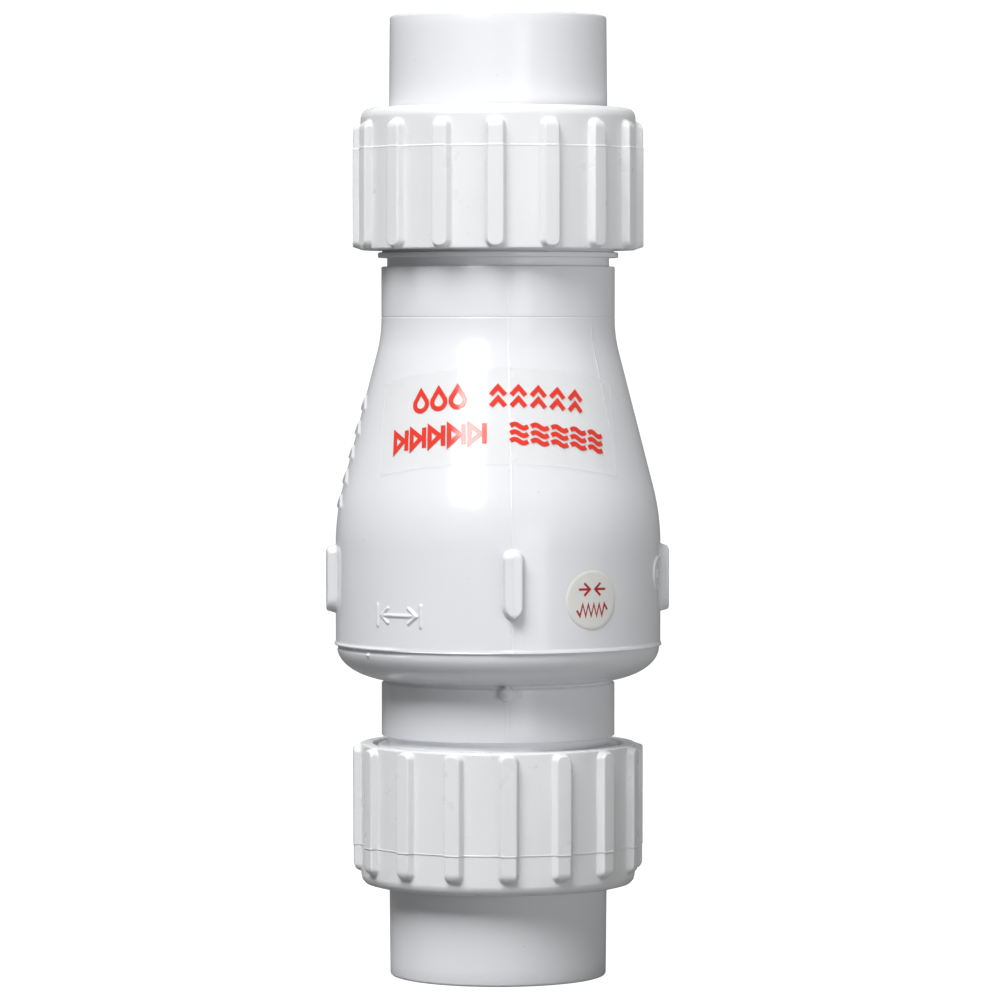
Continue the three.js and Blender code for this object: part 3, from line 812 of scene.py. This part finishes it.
def body_angles():
    """Azimuths that are close together at each piece of relief."""
    lug_flank = math.degrees(LUG["half_width"] / BULB)
    lugs = [math.degrees(LUG["azimuth"]) + i * 360 / LUG["count"] for i in range(LUG["count"])]
    fine = [
        (math.degrees(SIZE_MARK["azimuth"]), 11, 0.3),
        (math.degrees(RING_MARK["azimuth"]), 7, 0.3),
        (math.degrees(FLOW_MARK["azimuth"]), 8, 0.35),
    ]
    fine += [(lug, lug_flank + 1, 0.27) for lug in lugs]
    fine.append((math.degrees(SCUFF["azimuth"]), 0.8, 0.16))
    fine += [(math.degrees(FRONT_PARTING["azimuth"]) + half_turn, 0.5, 0.1) for half_turn in (0, 180)]
    return azimuths(3, *fine)


def threaded_neck(neck_end, collar_foot, collar_top, face):
    """Outline of a neck's end: a groove, a collar and the thread's root, from the neck to its end face."""
    return [
        (NECK, neck_end, 0.35), (RELIEF["radius"], neck_end, 0.2), (RELIEF["radius"], collar_foot, 0.2),
        (COLLAR["radius"], collar_foot, 0.3), (COLLAR["radius"], collar_top, 0.3),
        (THREAD["root"], collar_top, 0.2), (THREAD["root"], face, 0.8),
    ]


def seal_groove(face, floor):
    """Outline of the o-ring's groove in an end face, from outside in."""
    outer, inner = GROOVE["outer"], GROOVE["inner"]
    return [(outer, face, 0.2), (outer, floor, 0.3), (inner, floor, 0.3), (inner, face, 0.2)]


def valve_body():
    neck_end, collar_foot = RELIEF["outlet"]
    collar_top = collar_foot + COLLAR["thickness"]
    marks_from, marks_to, chevrons_to = SIZE_MARK["height"] - 3.8, LUG["to"] + 1, FLOW_MARK["height"] + 18.5
    turned_part(
        "valve_body",
        "moulding",
        WHITE_PVC,
        [
            (BULB, SEAM["height"], 0.25), (BULB, CONE["foot"], CONE["lower_fillet"]),
            (NECK, CONE["top"], CONE["upper_fillet"]),
            *threaded_neck(neck_end, collar_foot, collar_top, OUTLET_FACE),
        ],
        [
            *seal_groove(OUTLET_FACE, OUTLET_FACE - GROOVE["depth"]),
            (BORE, OUTLET_FACE, 0.5), (BORE, BORE_FROM, 20),
            (GUIDE_SHOULDER["radius"], GUIDE_SHOULDER["top"], 30),
            (GUIDE_SHOULDER["radius"], GUIDE_SHOULDER["height"]),
            (BULB - WALL, GUIDE_SHOULDER["height"]), (BULB - WALL, SEAM["height"]),
        ],
        body_angles(),
        [
            (SEAM["height"], SEAM["height"] + 1.6, 0.16),
            (marks_from, marks_to, 0.27),
            (marks_to, chevrons_to, 0.5),
            (NECK_PARTING["height"] - 0.6, NECK_PARTING["height"] + 0.6, 0.1),
            (collar_top, OUTLET_FACE, 0.6),
        ],
        reliefs=(body_relief, None),
    )


def gate_nub(azimuth, radius, height):
    """The round nub that is left where the cap's mould was filled."""
    across = wrapped(azimuth - GATE["azimuth"]) * NECK
    share = np.hypot(across, height - GATE["height"]) / GATE["half_width"]
    dome = np.sqrt(np.clip(1 - share * share, 0, 1))
    return np.maximum(GATE["radius"] - radius, 0) * dome


def cap_relief(azimuth, radius, height):
    """The gate's nub and line, a nub of flash, the joint's gap and its smeared V, and the thread."""
    on_neck = (np.abs(radius - NECK) < ON_SURFACE) * (height > RELIEF["inlet"][1])
    line = bump_line(wrapped(azimuth - GATE["azimuth"]) * NECK, GATE_LINE["half_width"]) * GATE_LINE["rise"]
    rise = line * on_neck + gate_nub(azimuth, radius, height)
    near_rim = smooth((height - CAP["rim"] + FLASH["below_rim"]) / 0.5) * (radius > CAP["radius"] - 0.6)
    rise = rise - SEAM["gap"] * at_left(azimuth, 28, 10) * near_rim
    rise = rise + seam_fill(azimuth, radius, height, CAP["radius"])
    up = height - CAP["rim"] + FLASH["below_rim"]
    flash = bump_line(np.hypot(wrapped(azimuth - FLASH["azimuth"]) * BULB, up), FLASH["half_width"])
    rise = rise + FLASH["rise"] * flash * (radius > CAP["radius"] - 1)
    return rise + neck_thread(azimuth, radius, height, *CAP_THREAD)


def dome_corners(count=26):
    """The cap's lower edge, a quarter of an ellipse from its underside out to its side."""
    flat = CAP["radius"] - CAP["dome_width"]
    top = CAP["rim"] - 0.2
    corners = []
    for i in range(count + 1):
        turn = math.pi / 2 * i / count
        radius = flat + CAP["dome_width"] * math.sin(turn)
        height = top - CAP["dome_height"] * math.cos(turn)
        if radius > NECK_TOP["groove"] + 0.1:
            corners.append((radius, height))
    return corners


def inlet_cap():
    collar_foot, neck_end = RELIEF["inlet"]
    collar_top = collar_foot - COLLAR["thickness"]
    rim = CAP["rim"] + SEAM["closed"]
    turned_part(
        "inlet_cap",
        "moulding",
        WHITE_PVC,
        [
            *reversed(threaded_neck(neck_end, collar_foot, collar_top, INLET_FACE)),
            (NECK, NECK_TOP["shoulder"], 0.3), (NECK_TOP["groove"], NECK_TOP["groove_height"], 0.3),
            *dome_corners(),
            (CAP["radius"], rim), (CAP_SPIGOT["outer"], rim, 0.2),
            (CAP_SPIGOT["outer"], CAP_SPIGOT["top"], 0.5),
        ],
        [
            (CAP_SPIGOT["inner"], CAP_SPIGOT["top"], 0.5), (CAP_SPIGOT["inner"], CAP["floor"], 2.5),
            (SEAT["outer"], CAP["floor"], 1), (SEAT["outer"], SEAT["top"], 0.8),
            (SEAT["bore"], SEAT["top"], 0.8), (SEAT["bore"], INLET_FACE, 0.5),
            *reversed(seal_groove(INLET_FACE, INLET_FACE + GROOVE["depth"])),
        ],
        azimuths(2.5, (math.degrees(GATE["azimuth"]), 3.2, 0.2), (math.degrees(FLASH["azimuth"]), 1.5, 0.2)),
        [
            (collar_top - 25, collar_top, 0.6),
            (GATE["height"] - GATE["half_width"], NECK_TOP["groove_height"] + 1.5, 0.2),
            (CAP["rim"] - 2, CAP["rim"], 0.2),
        ],
        reliefs=(cap_relief, None),
    )


def circle_corners(radius, height, section, count=20):
    """Corners round a ring's circular section, from its lowest point out and up, then in and down."""
    turns = [TURN * i / count - math.pi / 2 for i in range(count)]
    return [(radius + section * math.cos(t), height + section * math.sin(t)) for t in turns]


def o_ring(side):
    """A face seal, with the fine line left round it by its mould."""
    node = f"{side}_o_ring"
    middle, section = (low(node) + high(node)) / 2, (high(node) - low(node)) / 2
    corners = circle_corners(reach(node) - section, middle, section)

    def flash(azimuth, radius, height):
        return 0.05 * bump_line(height - middle, 0.12) * (radius > reach(node) - 0.2)

    half = len(corners) // 2
    steps = [(middle - 0.4, middle + 0.4, 0.1)]
    turned_part(node, "rubber", RUBBER, corners[:half], corners[half:], steps=steps, reliefs=(flash, None))


valve_body()
inlet_cap()
o_ring("inlet")
o_ring("outlet")

# ---------------------------------------------------------------- stem guide


def joined_pieces(name, *parts):
    """One object in place of several."""
    work = bmesh.new()
    for part in parts:
        work.from_mesh(part.data)
    parts[0].data.clear_geometry()
    work.to_mesh(parts[0].data)
    work.free()
    for part in parts[1:]:
        mesh = part.data
        bpy.data.objects.remove(part)
        bpy.data.meshes.remove(mesh)
    parts[0].name = name
    return parts[0]


def vane(number):
    """A plate from the guide's ring up to its hub, with its edges taken off."""
    loop, _ = outline(VANE_OUTLINE)
    loop = np.array(loop)
    ahead, behind = np.roll(loop, -1, axis=0) - loop, loop - np.roll(loop, 1, axis=0)
    along = ahead / np.linalg.norm(ahead, axis=1)[:, None] + behind / np.linalg.norm(behind, axis=1)[:, None]
    along /= np.linalg.norm(along, axis=1)[:, None]
    inward = np.stack([-along[:, 1], along[:, 0]], axis=1)
    half, edge = VANE["thickness"] / 2, VANE["edge"]
    turn = TURN * number / VANE["count"]
    points = []
    layers = ((half, edge), (half - edge, 0), (edge - half, 0), (-half, edge))
    for side, inset in layers:
        for radius, height in loop + inward * inset:
            x = radius * math.cos(turn) - side * math.sin(turn)
            y = radius * math.sin(turn) + side * math.cos(turn)
            points.append((x, y, height))
    count = len(loop)
    return mesh_object(f"vane_{number}", points, tube_faces(len(layers), count), GREY_PVC)


def guide_ring():
    inner, outer = GUIDE_RING["inner"], GUIDE_RING["outer"]
    start, end = GUIDE_RING["from"], GUIDE_RING["to"]
    outside = [(outer, start, 0.5), (outer, end, 0.5)]
    return turned("guide_ring", GREY_PVC, outside, [(inner, end, 0.8), (inner, start, 0.5)])


def guide_hub():
    seat_top = HUB["from"] + HUB["seat_thickness"]
    return turned(
        "guide_hub",
        GREY_PVC,
        [
            (HUB["seat_radius"], HUB["from"], 0.5), (HUB["seat_radius"], seat_top, 0.6),
            (HUB["radius"], seat_top + HUB["slope_height"], 1.5), (HUB["radius"], HUB["to"], 0.5),
        ],
        [(HUB["bore"], HUB["to"], 0.3), (HUB["bore"], HUB["from"], 0.3)],
        azimuths(5),
    )


def stem_guide():
    vanes = [vane(i) for i in range(VANE["count"])]
    stands_for(joined_pieces("stem_guide_moulding", guide_ring(), guide_hub(), *vanes), "stem_guide")


def guide_bush():
    flange_from = HUB["to"] + GAP
    top = flange_from + BUSH["flange_thickness"]
    turned_part(
        "guide_bush",
        "moulding",
        ACETAL,
        [
            (BUSH["radius"], HUB["from"], 0.4), (BUSH["radius"], flange_from),
            (BUSH["flange"], flange_from, 0.2), (BUSH["flange"], top, 0.5),
        ],
        [(BUSH["bore"], top, 0.5), (BUSH["bore"], HUB["from"], 0.4)],
        azimuths(6),
    )


stem_guide()
guide_bush()

# ---------------------------------------------------------------- poppet and spring


def poppet_stem():
    """A turned stem with a collar and chamfered ends, and a fine thread at its foot for the nut."""
    radius, collar, centre = STEM["radius"], STEM["collar"], STEM["centre_mark"]
    foot, tip = low("poppet_stem"), high("poppet_stem")
    collar_from = low("spring_cup")
    collar_to = collar_from + STEM["collar_height"]

    def foot_thread(azimuth, at_radius, height):
        depth = STEM["thread_depth"] * (0.5 + 0.5 * np.cos(TURN * height / STEM["thread_pitch"] - azimuth))
        threaded = (height < foot + STEM["threaded"]) * (height > foot + 1)
        return -depth * threaded * (at_radius > radius - ON_SURFACE)

    turned_part(
        "poppet_stem",
        "turned",
        STEEL,
        [
            (radius, foot, 0.7), (radius, collar_from), (collar, collar_from, 0.3),
            (collar, collar_to, 0.5), (radius, collar_to, 0.3), (radius, tip, 0.7),
        ],
        [(centre, tip), (AXIS, tip - centre), (AXIS, foot + centre), (centre, foot)],
        azimuths(9),
        [(foot, foot + STEM["threaded"], STEM["thread_pitch"] / 6)],
        reliefs=(foot_thread, None),
    )


def poppet_disc():
    node = "poppet_disc"
    foot, boss_top, radius = low(node), high(node), reach(node)
    top = boss_top - DISC["boss_height"]
    outside = [(radius, foot, 1.2), (radius, top, 1.2)]
    outside += [(DISC["boss_foot"], top, 1.5), (DISC["boss"], boss_top, 0.4)]
    inside = [(DISC["bore"], boss_top, 0.3), (DISC["bore"], foot, 0.3)]
    turned_part(node, "moulding", GREY_PVC, outside, inside, azimuths(4), [(foot, boss_top, 1.5)])


def poppet_seal():
    node, bore = "poppet_seal", DISC["bore"]
    foot, top, radius = low(node), high(node), reach(node)
    outside, inside = [(radius, foot, 0.5), (radius, top, 0.5)], [(bore, top, 0.3), (bore, foot, 0.3)]
    turned_part(node, "rubber", RUBBER, outside, inside, azimuths(4), [(foot, top, 1.0)])


def seal_retainer():
    node, bore = "seal_retainer", RETAINER["bore"]
    foot, top, radius = low(node), high(node), reach(node)
    outside = [(RETAINER["nose"], foot, 0.6), (radius, top - RETAINER["edge"], 0.5), (radius, top, 0.3)]
    turned_part(node, "moulding", GREY_PVC, outside, [(bore, top, 0.2), (bore, foot, 0.3)], azimuths(5))


def stem_washer():
    node, bore = "stem_washer", RETAINER["bore"]
    foot, top, radius = low(node), high(node), reach(node)
    outside, inside = [(radius, foot, 0.12), (radius, top, 0.3)], [(bore, top, 0.2), (bore, foot, 0.12)]
    turned_part(node, "stamped", STEEL, outside, inside, azimuths(6))


def stem_nut():
    """A hexagon nut with its corners chamfered at both faces."""
    node, bore = "stem_nut", STEM_NUT["bore"]
    foot, top = low(node), high(node)
    flat = STEM_NUT["across_flats"] / 2

    def hexagon(azimuth, radius, height):
        from_flat = (azimuth + TURN / 12) % (TURN / 6) - TURN / 12
        from_face = np.minimum(height - foot, top - height)
        corner = flat / np.cos(from_flat)
        chamfer = flat * 1.03 + from_face * 1.9
        return (np.minimum(corner, chamfer) - flat) * (radius > flat - ON_SURFACE)

    outside, inside = [(flat, foot), (flat, top)], [(bore, top, 0.4), (bore, foot, 0.4)]
    steps = [(foot, top, 0.2)]
    turned_part(node, "forged", STEEL, outside, inside, azimuths(3), steps, reliefs=(hexagon, None))


def spring_cup():
    node, inner, sheet = "spring_cup", SPRING_CUP["inner"], SPRING_CUP["sheet"]
    foot, top, radius = low(node), high(node), reach(node)
    inside = [(radius - sheet, top, 0.2), (radius - sheet, foot + sheet, 0.3)]
    inside += [(inner, foot + sheet, 0.15), (inner, foot, 0.15)]
    turned_part(node, "pressed", STEEL, [(radius, foot, 0.8), (radius, top, 0.2)], inside, azimuths(5))


def spring_height(share):
    """Height above the lower end of the spring's wire, whose end coils lie nearly flat."""
    end_coil, wire = 1 / SPRING["turns"], SPRING["wire"]
    lift, end_lift = SPRING["to"] - SPRING["from"] - 2 * wire, SPRING["end_lift"] * wire
    places = (0, end_coil, 1 - end_coil, 1)
    return SPRING["from"] + wire + np.interp(share, places, (0, end_lift, lift - end_lift, lift))


def coil_spring():
    """Round wire wound into a compression spring."""
    steps, sides = round(SPRING["turns"] * 40), 12
    points = []
    for share in np.linspace(0, 1, steps + 1):
        turn = TURN * SPRING["turns"] * share
        height = float(spring_height(share))
        for k in range(sides):
            out = SPRING["wire"] * math.cos(TURN * k / sides)
            up = SPRING["wire"] * math.sin(TURN * k / sides)
            radius = SPRING["coil"] + out
            points.append((radius * math.cos(turn), radius * math.sin(turn), height + up))
    spring = mesh_object("coil_spring_wire", points, tube_faces(steps + 1, sides), STEEL)
    stands_for(spring, "coil_spring")
    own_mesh(spring)


poppet_stem()
poppet_disc()
poppet_seal()
seal_retainer()
stem_washer()
stem_nut()
spring_cup()
coil_spring()

# ---------------------------------------------------------------- labels


def on_cone(across, up, lift):
    """A place on a flat label bent round the cone: across from its middle, up from its foot, lift from the
    cone."""
    slant = (APEX - LABEL["foot"]) / math.cos(CONE_ANGLE) - up
    from_apex = np.hypot(across, slant)
    azimuth = LABEL["azimuth"] + np.arctan2(across, slant) / math.sin(CONE_ANGLE)
    radius = from_apex * math.sin(CONE_ANGLE) + lift * math.cos(CONE_ANGLE)
    height = APEX - from_apex * math.cos(CONE_ANGLE) + lift * math.sin(CONE_ANGLE)
    return np.stack([radius * np.sin(azimuth), -radius * np.cos(azimuth), height], axis=-1)


def on_sticker(across, up, lift):
    """A place on the sticker, measured from its middle."""
    azimuth = STICKER["azimuth"] + across / BULB
    radius = BULB + lift
    return np.stack([radius * np.sin(azimuth), -radius * np.cos(azimuth), STICKER["height"] + up], axis=-1)


def sheet_faces(rows, columns):
    """Faces of a thin closed sheet: an outer and an inner grid of points, and the edge between them."""
    count = rows * columns
    grid = np.arange(count).reshape(rows, columns)
    quads = np.stack([grid[:-1, :-1], grid[:-1, 1:], grid[1:, 1:], grid[1:, :-1]], axis=-1).reshape(-1, 4)
    rim = np.concatenate([grid[0], grid[1:, -1], grid[-1, -2::-1], grid[-2:0:-1, 0]])
    following = np.roll(rim, -1)
    edge = np.stack([rim, count + rim, count + following, following], axis=1)
    return [*quads.tolist(), *(count + quads[:, ::-1]).tolist(), *edge.tolist()]


def label_film():
    """Clear film, lifting a very little along its edge, with faint wrinkles in it."""
    columns, rows = 137, 52
    half_width, half_height = LABEL["width"] / 2, LABEL["height"] / 2
    across = np.linspace(-half_width, half_width, columns)
    across, up = np.meshgrid(across, np.linspace(0, LABEL["height"], rows))
    from_edge = rounded_box(across, up - half_height, half_width, half_height, 0.01)
    lifting = LABEL["edge_lift"] * smooth(1 + from_edge / LABEL["loose"])
    wrinkles = 0.015 * np.sin(across * 0.9 + up * 0.35) * np.sin(up * 0.55)
    outer = on_cone(across, up, LABEL["lift"] + LABEL["thickness"] + lifting + wrinkles)
    inner = on_cone(across, up, LABEL["lift"] + lifting + wrinkles)
    points = np.concatenate([outer.reshape(-1, 3), inner.reshape(-1, 3)])
    stands_for(mesh_object("label_film", points, sheet_faces(rows, columns), FILM), "front_label")


def disc_faces(rings, sectors):
    """Faces of a thin closed disc: an outer and an inner grid of rings, the rim, and two middle faces."""
    count = rings * sectors
    quads = np.array(grid_faces(rings, sectors, close_rows=False))
    rim = np.arange(count - sectors, count)
    following = np.roll(rim, -1)
    edge = np.stack([rim, count + rim, count + following, following], axis=1)
    middles = [list(range(sectors)), list(range(count, count + sectors))]
    return [*quads.tolist(), *(count + quads[:, ::-1]).tolist(), *edge.tolist(), *middles]


def round_sticker():
    """A small round paper sticker, with its edge rounded off."""
    rings, sectors = 17, 96
    turns = TURN * np.arange(sectors) / sectors
    share, turn = np.meshgrid(np.linspace(0.03, 1, rings), turns, indexing="ij")
    across, up = STICKER["radius"] * share * np.cos(turn), STICKER["radius"] * share * np.sin(turn)
    at_edge = smooth((share - STICKER["rounded_from"]) / (1 - STICKER["rounded_from"]))
    rounded = STICKER["thickness"] * 0.6 * at_edge
    outer = on_sticker(across, up, STICKER["lift"] + STICKER["thickness"] - rounded)
    inner = on_sticker(across, up, np.full_like(across, STICKER["lift"]))
    points = np.concatenate([outer.reshape(-1, 3), inner.reshape(-1, 3)])
    stands_for(mesh_object("sticker_paper", points, disc_faces(rings, sectors), PAPER), "round_sticker")


def printed_band(path, half_width, closed=False, step=1.6):
    """Left and right sides of a printed line on a path, mitred at its corners, long stretches divided."""
    corners = np.array([*path, path[0]] if closed else path, float)
    line = []
    for start, end in zip(corners, corners[1:]):
        parts = max(1, int(np.linalg.norm(end - start) / step))
        line += [start + (end - start) * i / parts for i in range(parts)]
    if not closed:
        line.append(corners[-1])
    line = np.array(line)
    ahead, behind = np.roll(line, -1, axis=0) - line, line - np.roll(line, 1, axis=0)
    if not closed:
        ahead[-1], behind[0] = behind[-1], ahead[0]
    ahead /= np.linalg.norm(ahead, axis=1)[:, None]
    behind /= np.linalg.norm(behind, axis=1)[:, None]
    side = np.stack([-(ahead + behind)[:, 1], (ahead + behind)[:, 0]], axis=1)
    side /= np.linalg.norm(side, axis=1)[:, None]
    half_turn = np.sum(side * np.stack([-ahead[:, 1], ahead[:, 0]], axis=1), axis=1)
    reach_out = side * (half_width / np.clip(half_turn, SHARPEST_MITRE, 1))[:, None]
    return line + reach_out, line - reach_out


def print_on(name, node, material, place, lift, bands):
    """Printed bands as one thin piece. place bends label coordinates onto the surface."""
    points, faces = [], []
    for path, half_width, closed in bands:
        left, right = printed_band(path, half_width, closed)
        count = len(left)
        first = len(points)
        top = lift + INK["thickness"]
        for side, level in ((left, top), (right, top), (right, lift), (left, lift)):
            points += place(side[:, 0], side[:, 1], level).tolist()
        last = count if closed else count - 1
        for i in range(last):
            j = (i + 1) % count
            for k in range(4):
                here, following = first + k * count, first + (k + 1) % 4 * count
                faces.append([here + i, here + j, following + j, following + i])
        if not closed:
            faces.append([first + k * count for k in range(4)])
            faces.append([first + k * count + count - 1 for k in (3, 2, 1, 0)])
    belongs_to(mesh_object(name, points, faces, material), node)


def moved(path, across, up):
    return [(x + across, y + up) for x, y in path]


def drop_sign(width, height):
    """A drop of water."""
    radius = width / 2
    turns = [math.radians(a) for a in range(-200, 21, 20)]
    round_part = [(radius * math.cos(t), radius * math.sin(t) + radius - height / 2) for t in turns]
    return [([(0, height / 2), *round_part], True)]


def rising_sign(width, height):
    """Two chevrons, one above the other."""
    w, h = width / 2, height / 2
    return [([(-w, base), (0, base + h * 0.75), (w, base)], False) for base in (-h * 0.95, h * 0.1)]


def valve_sign(width, height):
    """A check valve's sign in a pipe drawing, a triangle against a bar."""
    w, h = width / 2, height / 2
    return [([(-w, -h), (w * 0.55, 0), (-w, h)], True), ([(w, -h * 1.1), (w, h * 1.1)], False)]


def wave_sign(width, height):
    """Three waves of water."""
    steps = np.linspace(0, 1, 9)
    waves = []
    for level in (-1, 0, 1):
        wave = [((x - 0.5) * width, level * height * 0.36 + 0.5 * math.sin(TURN * x)) for x in steps]
        waves.append((wave, False))
    return waves


def sign_row(row, signs):
    """Bands of a row of signs. None leaves a space."""
    left, up, pitch = -row["width"] / 2, row["up"], row["width"] / len(signs)
    bands = []
    for i, sign in enumerate(signs):
        if sign:
            centre = left + pitch * (i + 0.5)
            bands += [(moved(path, centre, up), SIGN_STROKE, closed) for path, closed in sign]
    return bands


def label_print():
    """Drops and chevrons above, and check valves and waves below."""
    bands = sign_row(FIRST_ROW, [drop_sign(*DROP)] * 3 + [None] + [rising_sign(*RISING)] * 5)
    bands += sign_row(SECOND_ROW, [valve_sign(*VALVE)] * 5 + [None] + [wave_sign(*WAVE)] * 5)
    lift = LABEL["lift"] + LABEL["thickness"] + INK["lift"]
    print_on("label_print", "front_label", FILM_INK, on_cone, lift, bands)


def sticker_print():
    """Two arrows that press towards each other, above a spring drawn as a zigzag."""
    thin = STICKER["stroke"]
    bands = []
    for side in (-1, 1):
        bands.append(([(side * 4.1, 2.8), (side * 1.3, 2.8)], thin, False))
        bands.append(([(side * 2.5, 4.4), (side * 0.8, 2.8), (side * 2.5, 1.2)], thin, False))
    turns, span, foot, tall = 5, 8.4, -2.5, 1.5
    places = [(i + 0.5) / (2 * turns) - 0.5 for i in range(2 * turns)]
    zigzag = [(span * x, foot + (tall if i % 2 else -tall)) for i, x in enumerate(places)]
    bands.append(([(-span / 2 - 0.5, foot), *zigzag, (span / 2 + 0.5, foot)], thin * 0.9, False))
    lift = STICKER["lift"] + STICKER["thickness"] + INK["lift"] / 2
    print_on("sticker_print", "round_sticker", STICKER_INK, on_sticker, lift, bands)


label_film()
label_print()
round_sticker()
sticker_print()

# ---------------------------------------------------------------- stage, lights and camera

FLOOR = {"radius": 550, "hole": 28, "below": 0.2}
CAMERA = {"lens": 185.2, "sensor": 36, "place": (0.5, -1350, 172.3), "aim": (0.5, 0, 124.8)}


def stage_floor():
    """A round white floor, lit from within for the camera alone, as a light table is. It is clear from below
    and open under the valve's foot, so that the valve can be seen from there."""
    sectors = 128
    turns = np.arange(sectors) * TURN / sectors
    rim = np.column_stack([np.cos(turns), np.sin(turns), np.zeros(sectors)])
    quads = [(k, sectors + k, sectors + (k + 1) % sectors, (k + 1) % sectors) for k in range(sectors)]
    points = np.concatenate([rim * FLOOR["hole"], rim * FLOOR["radius"]])
    floor = mesh_object("floor", points, quads, floor_material())
    if floor.data.polygons[0].normal.z < 0:
        floor.data.flip_normals()
    floor.location.z = -FLOOR["below"] * MM
    floor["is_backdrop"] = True


def floor_material():
    nodes = Nodes("floor")
    nodes.colour(nodes.mix(nodes.noise(3, 2), (0.13, 0.13, 0.13), (0.15, 0.15, 0.15)))
    nodes.set(Roughness=0.9, Emission_Color=(1, 1, 1, 1))
    seen = nodes.add("ShaderNodeLightPath").outputs["Is Camera Ray"]
    nodes.link(seen, nodes.shader.inputs["Emission Strength"])
    from_below = nodes.add("ShaderNodeNewGeometry").outputs["Backfacing"]
    nodes.link(nodes.math("SUBTRACT", 1, from_below), nodes.shader.inputs["Alpha"])
    return nodes.material


def softbox(name, azimuth, elevation, width, height, power, distance=2.4, lit=True, mirrored=True):
    """A soft light, aimed at the middle of the valve. Its angles are seen from there. lit says whether it
    lights the valve, and mirrored whether it shows in the valve's gloss."""
    aim = Vector((0, 0, LENGTH * MM / 2))
    a, e = math.radians(azimuth), math.radians(elevation)
    back = Vector((math.sin(a) * math.cos(e), -math.cos(a) * math.cos(e), math.sin(e)))
    data = bpy.data.lights.new(name, "AREA")
    data.shape = "RECTANGLE"
    data.size, data.size_y = (2 * distance * math.tan(math.radians(angle) / 2) for angle in (width, height))
    data.energy = power
    light = bpy.data.objects.new(name, data)
    light.location = aim + back * distance
    light.rotation_mode = "QUATERNION"
    light.rotation_quaternion = back.to_track_quat("Z", "Y")
    light.visible_camera = False
    light.visible_diffuse = lit
    light.visible_glossy = mirrored
    bpy.context.scene.collection.objects.link(light)


def studio_world(light_level, backdrop_level):
    """Even light from all round, with a whiter backdrop behind the object."""
    world = bpy.data.worlds.new("studio")
    world.use_nodes = True
    tree = world.node_tree
    tree.nodes.clear()
    output = tree.nodes.new("ShaderNodeOutputWorld")
    mix = tree.nodes.new("ShaderNodeMixShader")
    path = tree.nodes.new("ShaderNodeLightPath")
    for socket, level in zip(mix.inputs[1:], (light_level, backdrop_level)):
        background = tree.nodes.new("ShaderNodeBackground")
        background.inputs["Strength"].default_value = level
        background.inputs["Color"].default_value = (1, 1, 1, 1)
        tree.links.new(background.outputs[0], socket)
    tree.links.new(path.outputs["Is Camera Ray"], mix.inputs[0])
    tree.links.new(mix.outputs[0], output.inputs["Surface"])
    bpy.context.scene.world = world


def camera():
    data = bpy.data.cameras.new("camera")
    data.lens, data.sensor_width = CAMERA["lens"], CAMERA["sensor"]
    data.clip_start, data.clip_end = 0.1, 30
    cam = bpy.data.objects.new("camera", data)
    cam.location = Vector(CAMERA["place"]) * MM
    cam.rotation_mode = "QUATERNION"
    cam.rotation_quaternion = (cam.location - Vector(CAMERA["aim"]) * MM).to_track_quat("Z", "Y")
    bpy.context.scene.collection.objects.link(cam)
    bpy.context.scene.camera = cam


stage_floor()
studio_world(0.155, 1.1)
softbox("main", -30, 52, 32, 28, 76, mirrored=False)
softbox("low_fill", 48, -10, 35, 30, 26, mirrored=False)
softbox("back", 180, 30, 70, 50, 60, mirrored=False)
softbox("tall_strip", -24, 33, 19, 26, 44, lit=False)
softbox("side_panel", 25, 1, 18, 18, 3.5)
camera()
bpy.context.scene.view_settings.view_transform = "Standard"

[[list(corner) for corner in box] for box in (cad_box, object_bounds())]
